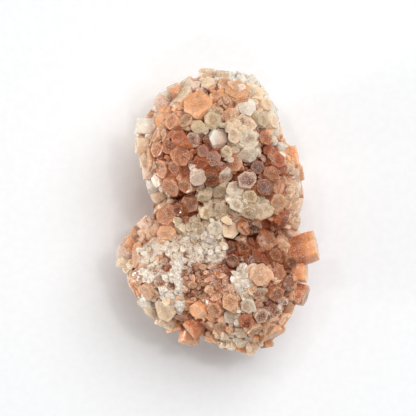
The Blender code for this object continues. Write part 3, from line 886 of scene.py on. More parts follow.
def end_face(mesh):
    """The highest of the faces that point up most."""
    return max(mesh.faces, key=lambda face: face.normal.z * UPRIGHT + face.calc_center_median().z)


def cut(mesh, place, facing, clear=False):
    """Cut the whole mesh by a plane, and clear what lies outside it if asked."""
    return bmesh.ops.bisect_plane(mesh, geom=mesh.verts[:] + mesh.edges[:] + mesh.faces[:], dist=CUT_GAP,
                                  plane_co=place, plane_no=facing, clear_outer=clear)["geom_cut"]


def bevel(mesh, edges, width, segments):
    return bmesh.ops.bevel(mesh, geom=edges, offset=width, offset_type="OFFSET", affect="EDGES",
                           segments=segments, profile=0.5, material=-1, clamp_overlap=True)


def step_in(mesh, share, rise, rim_layer, rim):
    """A ring inside the end face, whose middle rises or sinks."""
    face = end_face(mesh)
    bmesh.ops.inset_individual(mesh, faces=[face], thickness=0.0, depth=0.0)
    middle = face.calc_center_median()
    for vert in face.verts:
        vert.co.xy = middle.xy + (vert.co.xy - middle.xy) * share
        vert.co.z += rise
        vert[rim_layer] = rim


def cut_ledge(mesh, depth, height, step):
    """A growth ledge round the sides: the crystal is wider below it."""
    for level in (depth, depth + height):
        cut(mesh, (0.0, 0.0, -level), (0.0, 0.0, 1.0))
    for vert in mesh.verts:
        if vert.co.z < -(depth + height / 2):
            vert.co.xy *= 1.0 + step


def cut_ledges(mesh, rng):
    """A few growth ledges, one below the other."""
    height = sizes().ledge_height / MM
    depth = rng.uniform(*FIRST_LEDGE)
    for _ in range(rng.randint(*LEDGE_COUNTS)):
        cut_ledge(mesh, depth, height, rng.uniform(*LEDGE_STEPS))
        depth += rng.uniform(*NEXT_LEDGE)


def cut_facet(mesh, width, rng):
    """Slice off one side of the end by a sloping facet."""
    heading = rng.uniform(0.0, math.tau)
    slope = math.radians(rng.uniform(*FACET_SLOPES))
    across = Vector((math.cos(heading), math.sin(heading), 0.0))
    facing = across * math.sin(slope) + Vector((0.0, 0.0, math.cos(slope)))
    opened = cut(mesh, across * width * rng.uniform(*FACET_PLACES), facing, clear=True)
    border = [item for item in opened if isinstance(item, bmesh.types.BMEdge)]
    bmesh.ops.holes_fill(mesh, edges=border, sides=0)
    bmesh.ops.recalc_face_normals(mesh, faces=mesh.faces[:])


def chip_edges(mesh, rng):
    """Chip the edges of the end a little, which are never quite straight."""
    border = [edge for edge in mesh.edges if edge.calc_length() > CHIP_LENGTH
              and all(vert.co.z > -CHIP_DEPTH for vert in edge.verts)]
    chipped = bmesh.ops.subdivide_edges(mesh, edges=border, cuts=2)
    for item in chipped["geom_inner"]:
        if isinstance(item, bmesh.types.BMVert):
            item.co += Vector(rng.uniform(-CHIPS, CHIPS) for _ in range(3))


def shape_end(mesh, rim_layer, rng):
    """The relief of the end face: flat, hollowed with a raised rim, or terraced."""
    dish = sizes().dish_depth / MM
    kind = rng.random()
    rings = next(rings for most, rings in END_KINDS if kind < most)
    for ring in rings:
        low, high = ring.rises
        rise = dish * (low if low == high else rng.uniform(low, high))
        step_in(mesh, ring.share, rise, rim_layer, ring.rim)


def tilt_end(mesh, crystal, rng):
    """Slope the end a few degrees, as no two crystals end square to their sides."""
    slope = math.tan(math.radians(rng.uniform(0.0, END_SLOPE)))
    heading = rng.uniform(0.0, math.tau)
    downhill = Vector((math.cos(heading), math.sin(heading))) * slope
    for vert in mesh.verts:
        share = max(0.0, 1.0 + vert.co.z / (crystal.length * SLOPE_DEPTH))
        vert.co.z += vert.co.xy.dot(downhill) * share


def stand_up(mesh, crystal, spin):
    """Turn a crystal about its axis, and put it in its place."""
    facing = crystal.axis.to_track_quat("Z", "Y").to_matrix().to_4x4()
    mesh.transform(Matrix.Translation(crystal.end) @ facing @ Matrix.Rotation(spin, 4, "Z"))


def crystal_shape(crystal, rng):
    """One crystal in its place, in mm, with rounded edges, ledges and relief on its end."""
    mesh = plain_prism(crystal, rng)
    spin = rng.uniform(0.0, math.tau / PRISM_SIDES)
    rim_layer, tone_layer, place_layer = value_layers(mesh)
    for vert in mesh.verts:
        vert[rim_layer] = 1.0
    large = crystal.width >= LARGE_WIDTH
    grain = crystal.width < PLAIN_WIDTH
    foot = crystal.end.z <= FLOOR_GAP
    rim = min(sizes().rim_width / MM, crystal.width * WIDEST_RIM) * rng.uniform(*RIM_WIDTHS)
    if not grain:
        sides = [edge for edge in mesh.edges if abs(edge.verts[0].co.z - edge.verts[1].co.z) > LONG_EDGE]
        bevel(mesh, sides, crystal.width * rng.uniform(*SIDE_BEVELS), segments=2 if large else 1)
        if not foot:
            for _ in range(rng.choices(range(len(FACET_ODDS)), FACET_ODDS)[0] + (not large)):
                cut_facet(mesh, crystal.width, rng)
    if large:
        cut_ledges(mesh, rng)
    sharp = dict.fromkeys(edge for face in mesh.faces if face.normal.z > SHARP_EDGE for edge in face.edges)
    rounded = bevel(mesh, list(sharp), rim, segments=1 if grain else 2)
    for vert in rounded["verts"]:
        vert[rim_layer] = 1.0 if grain else EDGE
    if large:
        chip_edges(mesh, rng)
        shape_end(mesh, rim_layer, rng)
    elif not grain:
        step_in(mesh, SMALL_END_SHARE, rng.uniform(*SMALL_END_RISES), rim_layer, rng.uniform(*SMALL_END_RIMS))
    else:
        for vert in end_face(mesh).verts:
            vert[rim_layer] = GRAIN_RIM
    tone = rng.random()
    for vert in mesh.verts:
        vert[tone_layer] = tone
        vert[place_layer] = (vert.co.x, vert.co.y, -vert.co.z)
    if foot:
        for vert in mesh.verts:
            vert.co.z = min(vert.co.z, 0.0)     # a foot stands flat on the floor
    else:
        tilt_end(mesh, crystal, rng)
    stand_up(mesh, crystal, spin)
    return mesh


@functools.cache
def part_shift():
    """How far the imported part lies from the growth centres' own frame, in mm."""
    low = Vector((math.inf,) * 3)
    high = -low
    for item in solid_crystals():
        rng = chance_at(*item.crystal.end)
        mesh = plain_prism(item.crystal, rng)
        stand_up(mesh, item.crystal, rng.uniform(0.0, math.tau / PRISM_SIDES))
        for vert in mesh.verts:
            low = Vector(map(min, low, vert.co))
            high = Vector(map(max, high, vert.co))
        mesh.free()
    cad_low, cad_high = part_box(NODE)
    shift = (cad_low + cad_high) / (2 * MM) - (low + high) / 2
    shift.z = 0.0
    return shift


def join_crystals(name, grown):
    """One mesh of many crystals."""
    joined = bmesh.new()
    scratch = bpy.data.meshes.new("scratch")
    for item in grown:
        mesh = crystal_shape(item.crystal, chance_at(*item.crystal.end))
        mesh.to_mesh(scratch)
        mesh.free()
        joined.from_mesh(scratch)
    bpy.data.meshes.remove(scratch)
    return finish_mesh(name, joined, "crystals")


def finish_mesh(name, mesh, kind):
    """Move a mesh from the growth centres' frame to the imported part's, in metres, and shade it."""
    mesh.transform(Matrix.Scale(MM, 4) @ Matrix.Translation(part_shift()))
    data = bpy.data.meshes.new(name)
    mesh.to_mesh(data)
    mesh.free()
    data.shade_smooth()
    data.set_sharp_from_angle(angle=math.radians(SMOOTH_ANGLES[kind]))
    mark_buried(data)
    return data


def mark_buried(data):
    """Store how deep each point lies below the mean surface, 0 on it and 1 on the ground, for the root's iron
    stain and painted shade.
    """
    points = np.empty(len(data.vertices) * 3, np.float32)
    data.vertices.foreach_get("co", points)
    points = points.reshape(-1, 3) / MM - np.array(part_shift())
    nearest_surface = np.full(len(points), np.inf)
    for lobe in LOBES.values():
        scaled = (points - np.array(lobe.centre)) / np.array(lobe.reach)
        nearest_surface = np.minimum(nearest_surface, np.sqrt((scaled ** 2).sum(axis=1)))
    buried = np.clip((1.0 - nearest_surface) / (1.0 - ROOT_SHARE), 0.0, 1.0)
    data.attributes.new("buried", "FLOAT", "POINT").data.foreach_set("value", buried.astype(np.float32))


def ground_mesh():
    """The lumpy ground that the crystals stand in."""
    mesh = bmesh.new()
    for lobe in LOBES.values():
        shell = bmesh.ops.create_icosphere(mesh, subdivisions=GROUND_DETAIL, radius=1.0)["verts"]
        bmesh.ops.scale(mesh, vec=lobe.reach * ROOT_SHARE, verts=shell)
        bmesh.ops.translate(mesh, vec=lobe.centre, verts=shell)
    mesh.normal_update()
    for vert in mesh.verts:
        vert.co += vert.normal * sum(noise.noise(vert.co / size) * height for size, height in GROUND_LUMPS)
    return finish_mesh("rusty_shaded_ground", mesh, "ground")


def add_piece(data, material):
    """Show a finished mesh as a piece of the cluster."""
    data.materials.append(material)
    piece = bpy.data.objects.new(data.name, data)
    bpy.context.scene.collection.objects.link(piece)
    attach(piece, BODY)
    return piece


# Materials

# A noise is given as the size of its features and its detail, and then how it is stretched. A ramp is
# given as where it starts and ends, and then the values that it has there, if they aren't 0 and 1.
COLOUR = "NodeSocketColor"
NUMBER = "NodeSocketFloat"

# How the zones of a crystal run into each other: on its end face by the "rim" value, which is 0 in the
# middle and 1 at the edge, and on its sides by the depth below the end, in mm.
ZONE_CLOUDS = (1.6 * MM, 3.0)
ZONE_SHIFT = 0.7                    # how far the clouds move the borders of the zones
DEPTH_SHIFT = 2.0                   # how many times further they move those on the sides
TONE_SPREAD = 7.3                   # makes a second random number from a crystal's tone
CORE_SPREAD = 0.5                   # how much the core differs in size from crystal to crystal
CORE_BLUR = (0.42, 0.36)            # how far its border is blurred inwards and outwards
EDGE_RAMP = (1.14, 1.22)
EDGE_CLOUDS = (1.0 * MM, 2.0)       # the bright edge, a painted highlight on the crystals and the pale ridge on the crust, is broken up by these
EDGE_GAPS = (0.40, 0.54)
SIDE_RAMP = (0.25, 1.3)
# Down the sides the root's colour takes over: iron stain and painted shade of the crevices.
ROOT_RAMP = (1.5, 4.6)
BURIED_RAMP = (0.16, 0.66)          # what lies deep in the cluster has the root's colour too, painted shade as well as stain
LIGHTEST = 1.06                     # the lightest crystal's brightness
SHEEN_BANDS = (3.0, 0.0, (1.0, 1.0, 0.3))
SHEEN_RAMP = (0.3, 0.7, 0.90, 1.10)

STAIN_PATCHES = (4.0 * MM, 5.0)
STAIN_STREAKS = (1.0, 3.0, (1.2, 1.2, 0.2))
PATCH_SHARE = 0.6
STREAK_SHARE = 0.5
STAIN_RAMP = (0.45, 0.75)
END_STAIN_RAMP = (0.0, 1.0, 0.35, 1.0)      # the end faces have less of it than the sides

MOSAIC_BENDS = (0.9 * MM, 2.0)
MOSAIC_BEND = 0.5 * MM              # how far the borders of the mosaic are bent
MOSAIC_SIZE = 0.62 * MM
FACET_TILT = 0.50                   # how steeply the small parts of the mosaic slope
CRACK_SPACING = 2.4 * MM
CRACK_RAMP = (0.0, 0.05, 1.0, 0.0)
CRACK_PATCHES = (3.0 * MM, 2.0)
CRACK_PATCH_RAMP = (0.45, 0.60)
CRACK_HEIGHT = -0.06
GLINT_SPECKS = (0.24 * MM, 1.0)
GLINT_RAMP = (0.60, 0.66)
FLECK_RAMP = (0.40, 0.34)
FLECK_SHARE = 0.55

FROST_VEILS = (1.5 * MM, 6.0)
FROST_SPECKS = (0.28 * MM, 2.0)
VEIL_SHARE = 0.75
SPECK_SHARE = 0.35
FROST_RAMP = (0.52, 0.68)
FROST_ROUGHNESS = 0.25              # how much rougher the frost is than the crystal
GLOSS_RAMP = (0.2, 0.9, 0.20, 0.04) # a crystal's roughness, by its tone

SIDE_LINES = (0.35, 2.0, (1.0, 1.0, 0.06))
SIDE_LEDGES = (0.5, 2.0, (0.05, 0.05, 1.0))
END_GRAIN = (0.35 * MM, 3.0)
LINES_ON_SIDES = 0.6
GRAIN_ON_ENDS = 0.40
RELIEF_HEIGHT = 0.07

CRYSTAL_IOR = 1.58
CRYSTAL_SPECULAR = 0.25
SCATTER_WEIGHTS = {"crystal": 0.85, "sheet": 0.2, "ground": 0.1}    # how waxy each is
SCATTER_RADIUS = (1.0, 0.95, 0.9)
SCATTER_SIZE = 0.4 * MM

PLAIN_EDGE_HIGHLIGHT = 0.35                   # how white the painted highlight on an edge is
FROSTED_EDGE_HIGHLIGHT = 0.5                  # and how much whiter on a frosted crystal
RINGED_EDGE_HIGHLIGHT = 0.95                  # the painted white highlight on a ringed crystal's edge
DARKEST = 0.78                      # the darkest crystal's brightness
DARKEST_CHALK = 0.94
CRACK_ROOT = 0.4                    # how much of the root's colour a crack has
PLAIN_GLINT = 0.20                  # how white a glint is
FROSTED_GLINT = 1.6                 # and how much whiter on a frosted crystal
PLAIN_MOSAIC = 0.10                 # how much the parts of the mosaic differ in brightness
FROSTED_MOSAIC = 0.20               # and how much more on a frosted crystal
PLAIN_FACETS = 0.42                 # how high they stand
FROSTED_FACETS = 0.7                # and how much more on a frosted crystal

SHEET_PORES = (0.38 * MM, 1.0)
PORE_RAMP = (0.40, 0.33)
PORE_SHARE = 0.75
PORE_HEIGHT = -0.15
SHEET_RELIEF = (0.4 * MM, 4.0)
SHEET_RELIEF_HEIGHT = 0.22
ROSY_SIDE = 0.35                    # between the rosy crust's low and high colour
ROSY_ROOT = 0.4                     # and between the root's colour and the low one
SHEET_CRACK = 0.5

GROUND_PATCHES = (2.0 * MM, 6.0)
GROUND_RAMP = (0.35, 0.7)
GROUND_RELIEF = (0.5 * MM, 5.0)
GROUND_BUMP = 0.3 * MM


def wire(tree, source, socket):
    """Feed a socket from another socket, or set it to a plain value."""
    if isinstance(source, NodeSocket):
        tree.links.new(source, socket)
    else:
        socket.default_value = source


def math_of(tree, operation, *values):
    made = tree.nodes.new("ShaderNodeMath")
    made.operation = operation
    for socket, value in zip(made.inputs, values):
        wire(tree, value, socket)
    return made.outputs[0]


def product_of(tree, *values):
    """All the values multiplied together."""
    return functools.reduce(lambda first, second: math_of(tree, "MULTIPLY", first, second), values)


def vector_of(tree, operation, *values, output="Vector"):
    made = tree.nodes.new("ShaderNodeVectorMath")
    made.operation = operation
    for socket, value in zip(made.inputs, values):
        wire(tree, value, socket)
    return made.outputs[output]


def brightened(tree, colour_socket, brightness):
    """A colour times a brightness."""
    made = tree.nodes.new("ShaderNodeVectorMath")
    made.operation = "SCALE"
    wire(tree, colour_socket, made.inputs[0])
    wire(tree, brightness, made.inputs["Scale"])
    return made.outputs[0]


def axis_of(tree, vector, axis):
    made = tree.nodes.new("ShaderNodeSeparateXYZ")
    wire(tree, vector, made.inputs[0])
    return made.outputs[axis]


def mix_of(tree, share, first, second):
    made = tree.nodes.new("ShaderNodeMix")
    made.data_type = "RGBA"
    wire(tree, share, made.inputs[0])
    wire(tree, first, made.inputs[6])
    wire(tree, second, made.inputs[7])
    return made.outputs[2]


def ramp_of(tree, value, low, high, start=0.0, end=1.0):
    """A smooth step from start to end while the value goes from low to high."""
    made = tree.nodes.new("ShaderNodeMapRange")
    made.interpolation_type = "SMOOTHSTEP"
    for socket, number in zip(made.inputs, (value, low, high, start, end)):
        wire(tree, number, socket)
    return made.outputs[0]


def noise_of(tree, vector, size, detail, stretch=None, output="Fac"):
    """Noise whose features are about the given size, in the units of the vector."""
    if stretch is not None:
        mapping = tree.nodes.new("ShaderNodeMapping")
        mapping.inputs["Scale"].default_value = stretch
        wire(tree, vector, mapping.inputs["Vector"])
        vector = mapping.outputs[0]
    made = tree.nodes.new("ShaderNodeTexNoise")
    made.inputs["Scale"].default_value = 1.0 / size
    made.inputs["Detail"].default_value = detail
    wire(tree, vector, made.inputs["Vector"])
    return made.outputs[output]


def cells_of(tree, vector, size, feature="F1"):
    """The outputs of a pattern of cells of about the given size."""
    made = tree.nodes.new("ShaderNodeTexVoronoi")
    made.feature = feature
    made.inputs["Scale"].default_value = 1.0 / size
    wire(tree, vector, made.inputs["Vector"])
    return made.outputs


def attribute_of(tree, name, output="Fac"):
    made = tree.nodes.new("ShaderNodeAttribute")
    made.attribute_name = name
    return made.outputs[output]


def object_place(tree):
    return tree.nodes.new("ShaderNodeTexCoord").outputs["Object"]


def new_group(name, inputs, outputs):
    """A shader node group, its input sockets by name, and its output node."""
    tree = bpy.data.node_groups.new(name, "ShaderNodeTree")
    for label, kind in inputs.items():
        tree.interface.new_socket(label, in_out="INPUT", socket_type=kind)
    for label, kind in outputs.items():
        tree.interface.new_socket(label, in_out="OUTPUT", socket_type=kind)
    return tree, tree.nodes.new("NodeGroupInput").outputs, tree.nodes.new("NodeGroupOutput").inputs


def use_group(tree, group, **values):
    made = tree.nodes.new("ShaderNodeGroup")
    made.node_tree = group
    for label, value in values.items():
        wire(tree, value, made.inputs[label.replace("_", " ")])
    return made.outputs


@functools.cache
def growth_zones():
    """Colour by place on a crystal: core, rim (zoning and painted glow), painted edge highlight, stained side
    and deep root (stain and painted shade).
    """
    tree, given, result = new_group(
        "growth zones",
        {"Core": COLOUR, "Rim": COLOUR, "Edge": COLOUR, "Side": COLOUR, "Root": COLOUR,
         "Core size": NUMBER, "Edge share": NUMBER, "Darkest": NUMBER},
        {"Color": COLOUR, "Side mask": NUMBER})
    place = attribute_of(tree, "place", "Vector")
    rim = attribute_of(tree, "rim")
    tone = attribute_of(tree, "tone")
    clouds = noise_of(tree, object_place(tree), *ZONE_CLOUDS)
    wobble = math_of(tree, "MULTIPLY_ADD", clouds, ZONE_SHIFT, -ZONE_SHIFT / 2)
    spread_rim = math_of(tree, "ADD", rim, wobble)
    own = math_of(tree, "FRACT", math_of(tree, "MULTIPLY", tone, TONE_SPREAD))
    growth = math_of(tree, "MULTIPLY_ADD", own, CORE_SPREAD, -CORE_SPREAD / 2)
    size = math_of(tree, "ADD", given["Core size"], growth)
    low = math_of(tree, "SUBTRACT", size, CORE_BLUR[0])
    high = math_of(tree, "ADD", size, CORE_BLUR[1])
    # The rim is lighter than the core partly by the crystal's own zoning, partly as painted glow of light
    # through its thin edge.
    end = mix_of(tree, ramp_of(tree, spread_rim, low, high), given["Core"], given["Rim"])
    broken = ramp_of(tree, noise_of(tree, object_place(tree), *EDGE_CLOUDS), *EDGE_GAPS)
    # The bright edge: a painted highlight on the crystals, and the crust's pale ridge on the sheets.
    edge = product_of(tree, ramp_of(tree, rim, *EDGE_RAMP), broken, given["Edge share"])
    with_highlight_and_ridge = mix_of(tree, edge, end, given["Edge"])
    spread_depth = math_of(tree, "MULTIPLY", wobble, DEPTH_SHIFT)
    spread_depth = math_of(tree, "ADD", axis_of(tree, place, "Z"), spread_depth)
    side_mask = ramp_of(tree, spread_depth, *SIDE_RAMP)
    side = mix_of(tree, side_mask, with_highlight_and_ridge, given["Side"])
    # The root's colour, down the sides and deep in the cluster, is iron stain and painted shade of the
    # crevices.
    buried = ramp_of(tree, attribute_of(tree, "buried"), *BURIED_RAMP)
    deep = math_of(tree, "MAXIMUM", ramp_of(tree, spread_depth, *ROOT_RAMP), buried)
    with_root_stain_and_shade = mix_of(tree, deep, side, given["Root"])
    shade = ramp_of(tree, tone, 0.0, 1.0, given["Darkest"], LIGHTEST)
    sheen = ramp_of(tree, noise_of(tree, place, *SHEEN_BANDS), *SHEEN_RAMP)
    wire(tree, brightened(tree, with_root_stain_and_shade, product_of(tree, shade, sheen)), result["Color"])
    wire(tree, side_mask, result["Side mask"])
    return tree


@functools.cache
def iron_stain():
    """Rusty stain in soft patches and streaks."""
    tree, given, result = new_group(
        "iron stain", {"Color": COLOUR, "Stain": COLOUR, "Amount": NUMBER, "Side mask": NUMBER},
        {"Color": COLOUR})
    patch = noise_of(tree, object_place(tree), *STAIN_PATCHES)
    streak = noise_of(tree, attribute_of(tree, "place", "Vector"), *STAIN_STREAKS)
    patch = math_of(tree, "MULTIPLY", patch, PATCH_SHARE)
    mask = ramp_of(tree, math_of(tree, "MULTIPLY_ADD", streak, STREAK_SHARE, patch), *STAIN_RAMP)
    reach = ramp_of(tree, given["Side mask"], *END_STAIN_RAMP)
    share = product_of(tree, mask, reach, given["Amount"])
    wire(tree, mix_of(tree, share, given["Color"], given["Stain"]), result["Color"])
    return tree


@functools.cache
def flaws_and_glints():
    """A mosaic of grown-together parts, hairline cracks, dark flecks and painted glints: their tint, and
    their height.
    """
    tree, given, result = new_group(
        "flaws_and_glints", {"Color": COLOUR, "Crack": COLOUR, "Glint": COLOUR, "Mosaic": NUMBER, "Cracks": NUMBER},
        {"Color": COLOUR, "Height": NUMBER})
    place = object_place(tree)
    bend = noise_of(tree, place, *MOSAIC_BENDS, output="Color")
    bent = vector_of(tree, "MULTIPLY_ADD", bend, (MOSAIC_BEND,) * 3, place)
    mosaic = cells_of(tree, bent, MOSAIC_SIZE)
    lines = cells_of(tree, bent, CRACK_SPACING, "DISTANCE_TO_EDGE")["Distance"]
    patchy = ramp_of(tree, noise_of(tree, place, *CRACK_PATCHES), *CRACK_PATCH_RAMP)
    crack = product_of(tree, ramp_of(tree, lines, *CRACK_RAMP), patchy, given["Cracks"])
    cracked = mix_of(tree, crack, given["Color"], given["Crack"])
    swing = math_of(tree, "SUBTRACT", axis_of(tree, mosaic["Color"], "X"), 0.5)
    shade = math_of(tree, "MULTIPLY_ADD", swing, given["Mosaic"], 1.0)
    specks = noise_of(tree, place, *GLINT_SPECKS)
    # Painted glints: sparse specks in the glint colour, standing in for highlights.
    glint = ramp_of(tree, specks, *GLINT_RAMP)
    spotted = mix_of(tree, glint, brightened(tree, cracked, shade), given["Glint"])
    fleck = math_of(tree, "MULTIPLY", ramp_of(tree, specks, *FLECK_RAMP), FLECK_SHARE)
    wire(tree, mix_of(tree, fleck, spotted, given["Crack"]), result["Color"])
    offset = vector_of(tree, "SUBTRACT", bent, mosaic["Position"])
    tilt = vector_of(tree, "SUBTRACT", mosaic["Color"], (0.5, 0.5, 0.5))
    facet = vector_of(tree, "DOT_PRODUCT", offset, tilt, output="Value")
    level = math_of(tree, "MULTIPLY", facet, FACET_TILT / MM)
    wire(tree, math_of(tree, "MULTIPLY_ADD", crack, CRACK_HEIGHT, level), result["Height"])
    return tree


@functools.cache
def white_frost():
    """Fine white frosting and cloudy veils, and how rough they are."""
    tree, given, result = new_group(
        "white frost", {"Color": COLOUR, "Frost": COLOUR, "Amount": NUMBER},
        {"Color": COLOUR, "Roughness": NUMBER})
    place = object_place(tree)
    veil = math_of(tree, "MULTIPLY", noise_of(tree, place, *FROST_VEILS), VEIL_SHARE)
    speck = noise_of(tree, place, *FROST_SPECKS)
    mask = ramp_of(tree, math_of(tree, "MULTIPLY_ADD", speck, SPECK_SHARE, veil), *FROST_RAMP)
    share = math_of(tree, "MULTIPLY", mask, given["Amount"])
    wire(tree, mix_of(tree, share, given["Color"], given["Frost"]), result["Color"])
    gloss = ramp_of(tree, attribute_of(tree, "tone"), *GLOSS_RAMP)
    wire(tree, math_of(tree, "MULTIPLY_ADD", share, FROST_ROUGHNESS, gloss), result["Roughness"])
    return tree


@functools.cache
def crystal_relief():
    """Height of the fine relief: growth lines along the sides and a grainy end."""
    tree, given, result = new_group(
        "crystal relief", {"Lines": NUMBER, "Grain": NUMBER}, {"Height": NUMBER})
    place = attribute_of(tree, "place", "Vector")
    lines = noise_of(tree, place, *SIDE_LINES)
    ledges = noise_of(tree, place, *SIDE_LEDGES)
    grain = noise_of(tree, object_place(tree), *END_GRAIN)
    along = math_of(tree, "MULTIPLY", math_of(tree, "ADD", lines, ledges), given["Lines"])
    wire(tree, math_of(tree, "MULTIPLY_ADD", grain, given["Grain"], along), result["Height"])
    return tree


def as_colour(value):
    return (*value, 1.0)


def mixed(first, second, share):
    """A plain colour between two others."""
    return as_colour(a + (b - a) * share for a, b in zip(first, second))


def bump_of(tree, height, distance):
    made = tree.nodes.new("ShaderNodeBump")
    made.inputs["Distance"].default_value = distance
    wire(tree, height, made.inputs["Height"])
    return made.outputs[0]


def new_material(name):
    """A material, and the tree of its nodes."""
    material = bpy.data.materials.new(name)
    material.use_nodes = True
    return material, material.node_tree


def waxy_shader(tree, kind, colour_socket, roughness, normal):
    """Set the shader to translucent, waxy crystal."""
    shader = tree.nodes["Principled BSDF"]
    wire(tree, colour_socket, shader.inputs["Base Color"])
    wire(tree, roughness, shader.inputs["Roughness"])
    wire(tree, normal, shader.inputs["Normal"])
    shader.inputs["Metallic"].default_value = 0.0
    shader.inputs["IOR"].default_value = CRYSTAL_IOR
    shader.inputs["Specular IOR Level"].default_value = CRYSTAL_SPECULAR
    shader.inputs["Subsurface Weight"].default_value = SCATTER_WEIGHTS[kind]
    shader.inputs["Subsurface Radius"].default_value = SCATTER_RADIUS
    shader.inputs["Subsurface Scale"].default_value = SCATTER_SIZE


def end_colours(finish):
    """Core and rim colour of a finish."""
    tones = colours()
    if finish == "ringed":
        return tones.ring_core, tones.ring_rim
    if finish == "orange_ringed":
        return tones.ring_core, tones.orange_ring
    return getattr(tones, finish + "_core"), getattr(tones, finish + "_rim")


def crystal_material(finish):
    """Waxy crystal: a core, a rim partly painted glow, a painted edge highlight and painted glints, stained
    and frosted as its finish says.
    """
    look = LOOKS[finish]
    tones = colours()
    core, rim = end_colours(finish)
    highlight_whiteness = RINGED_EDGE_HIGHLIGHT if finish == "ringed" else PLAIN_EDGE_HIGHLIGHT + FROSTED_EDGE_HIGHLIGHT * look.frost
    material, tree = new_material(finish + "_aragonite")
    zones = use_group(tree, growth_zones(), Core=as_colour(core), Rim=as_colour(rim),
                      Edge=mixed(rim, tones.frost, highlight_whiteness), Side=mixed(rim, tones.iron, look.side),
                      Root=mixed(tones.root, core, look.root_paleness), Core_size=look.core_size,
                      Edge_share=look.edge, Darkest=DARKEST_CHALK if finish == "chalk" else DARKEST)
    stained = use_group(tree, iron_stain(), Color=zones["Color"], Stain=as_colour(tones.iron),
                        Amount=look.stain, Side_mask=zones["Side mask"])
    flawed_and_glinting = use_group(tree, flaws_and_glints(), Color=stained["Color"], Crack=mixed(core, tones.root, CRACK_ROOT),
                       Glint=mixed(rim, tones.frost, min(1.0, PLAIN_GLINT + FROSTED_GLINT * look.frost)),
                       Mosaic=PLAIN_MOSAIC + FROSTED_MOSAIC * look.frost, Cracks=0.22)
    frosted = use_group(tree, white_frost(), Color=flawed_and_glinting["Color"], Frost=as_colour(tones.frost),
                        Amount=look.frost)
    lines = math_of(tree, "MULTIPLY", zones["Side mask"], LINES_ON_SIDES)
    relief = use_group(tree, crystal_relief(), Lines=lines, Grain=GRAIN_ON_ENDS)
    facets = math_of(tree, "MULTIPLY", flawed_and_glinting["Height"], PLAIN_FACETS + FROSTED_FACETS * look.frost)
    height = math_of(tree, "MULTIPLY_ADD", relief["Height"], RELIEF_HEIGHT, facets)
    waxy_shader(tree, "crystal", frosted["Color"], frosted["Roughness"], bump_of(tree, height, MM))
    return material


def sheet_material(name, core, rim, pore_paleness):
    """A sheet of blocks in two tones, with rosy parts beyond the ridge and in the pits."""
    tones = colours()
    material, tree = new_material(name)
    zones = use_group(tree, growth_zones(), Core=as_colour(core), Rim=as_colour(rim),
                      Edge=as_colour(tones.ridge), Side=mixed(tones.rosy_core, tones.rosy_rim, ROSY_SIDE),
                      Root=mixed(tones.root, tones.rosy_core, ROSY_ROOT),
                      Core_size=0.3, Edge_share=0.9, Darkest=0.92)
    stained = use_group(tree, iron_stain(), Color=zones["Color"], Stain=as_colour(tones.rosy_core),
                        Amount=0.22, Side_mask=1.0)
    flawed_and_glinting = use_group(tree, flaws_and_glints(), Color=stained["Color"], Crack=mixed(core, tones.root, SHEET_CRACK),
                       Glint=as_colour(tones.frost), Mosaic=0.30, Cracks=0.35)
    frosted = use_group(tree, white_frost(), Color=flawed_and_glinting["Color"], Frost=as_colour(tones.frost),
                        Amount=LOOKS["chalk"].frost)
    pore = ramp_of(tree, noise_of(tree, object_place(tree), *SHEET_PORES), *PORE_RAMP)
    pitted = mix_of(tree, math_of(tree, "MULTIPLY", pore, PORE_SHARE), frosted["Color"],
                    mixed(tones.root, core, pore_paleness))
    relief = noise_of(tree, object_place(tree), *SHEET_RELIEF)
    height = math_of(tree, "MULTIPLY_ADD", relief, SHEET_RELIEF_HEIGHT, flawed_and_glinting["Height"])
    height = math_of(tree, "MULTIPLY_ADD", pore, PORE_HEIGHT, height)
    waxy_shader(tree, "sheet", pitted, frosted["Roughness"], bump_of(tree, height, MM))
    return material


def ground_material():
    """Iron-stained ground between the crystals: deep red-brown, which is also painted shade of the gaps,
    dull, with a few pale specks.
    """
    tones = colours()
    material, tree = new_material("rusty_shaded_ground")
    patch = ramp_of(tree, noise_of(tree, object_place(tree), *GROUND_PATCHES), *GROUND_RAMP)
    base = mix_of(tree, patch, as_colour(tones.root), as_colour(tones.rust_core))
    frosted = use_group(tree, white_frost(), Color=base, Frost=as_colour(tones.tan_core), Amount=0.25)
    relief = noise_of(tree, object_place(tree), *GROUND_RELIEF)
    waxy_shader(tree, "ground", frosted["Color"], frosted["Roughness"], bump_of(tree, relief, GROUND_BUMP))
    return material


# Operators

class ARAGONITE_OT_ground(Operator):
    """Make the rough ground that the crystals stand in, rusty and painted dark as shade of the gaps"""
    bl_idname = "aragonite.ground"
    bl_label = "Rusty ground"

    def execute(self, context):
        ground = add_piece(ground_mesh(), ground_material())
        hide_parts(NODE)
        return {"FINISHED"}


def add_by_finish(grown, ending):
    """One piece for each finish of these crystals."""
    for finish in sorted({item.finish for item in grown}):
        data = join_crystals(finish + ending, [item for item in grown if item.finish == finish])
        add_piece(data, crystal_material(finish))


class ARAGONITE_OT_crystals(Operator):
    """Grow the crystals of every finish"""
    bl_idname = "aragonite.crystals"
    bl_label = "Crystals"

    def execute(self, context):
        add_by_finish(all_crystals(), "_crystals")
        return {"FINISHED"}


class ARAGONITE_OT_grains(Operator):
    """Grow the tiny grains of the crust"""
    bl_idname = "aragonite.grains"
    bl_label = "Crust grains"

    def execute(self, context):
        add_by_finish(crust_grains(), "_grains")
        return {"FINISHED"}


class ARAGONITE_OT_sheets(Operator):
    """Spread the rough blocks under the grains and the sugary filling of the pale gaps"""
    bl_idname = "aragonite.sheets"
    bl_label = "Crust and sugar"

    def execute(self, context):
        tones = colours()
        add_piece(crust_sheet(), sheet_material("crust_aragonite", tones.chalk_core, tones.chalk_rim,
                                                pore_paleness=0.25))
        add_piece(sugar_sheet(), sheet_material("sugar_aragonite", tones.sage_core, tones.cream_rim,
                                                pore_paleness=0.45))
        return {"FINISHED"}


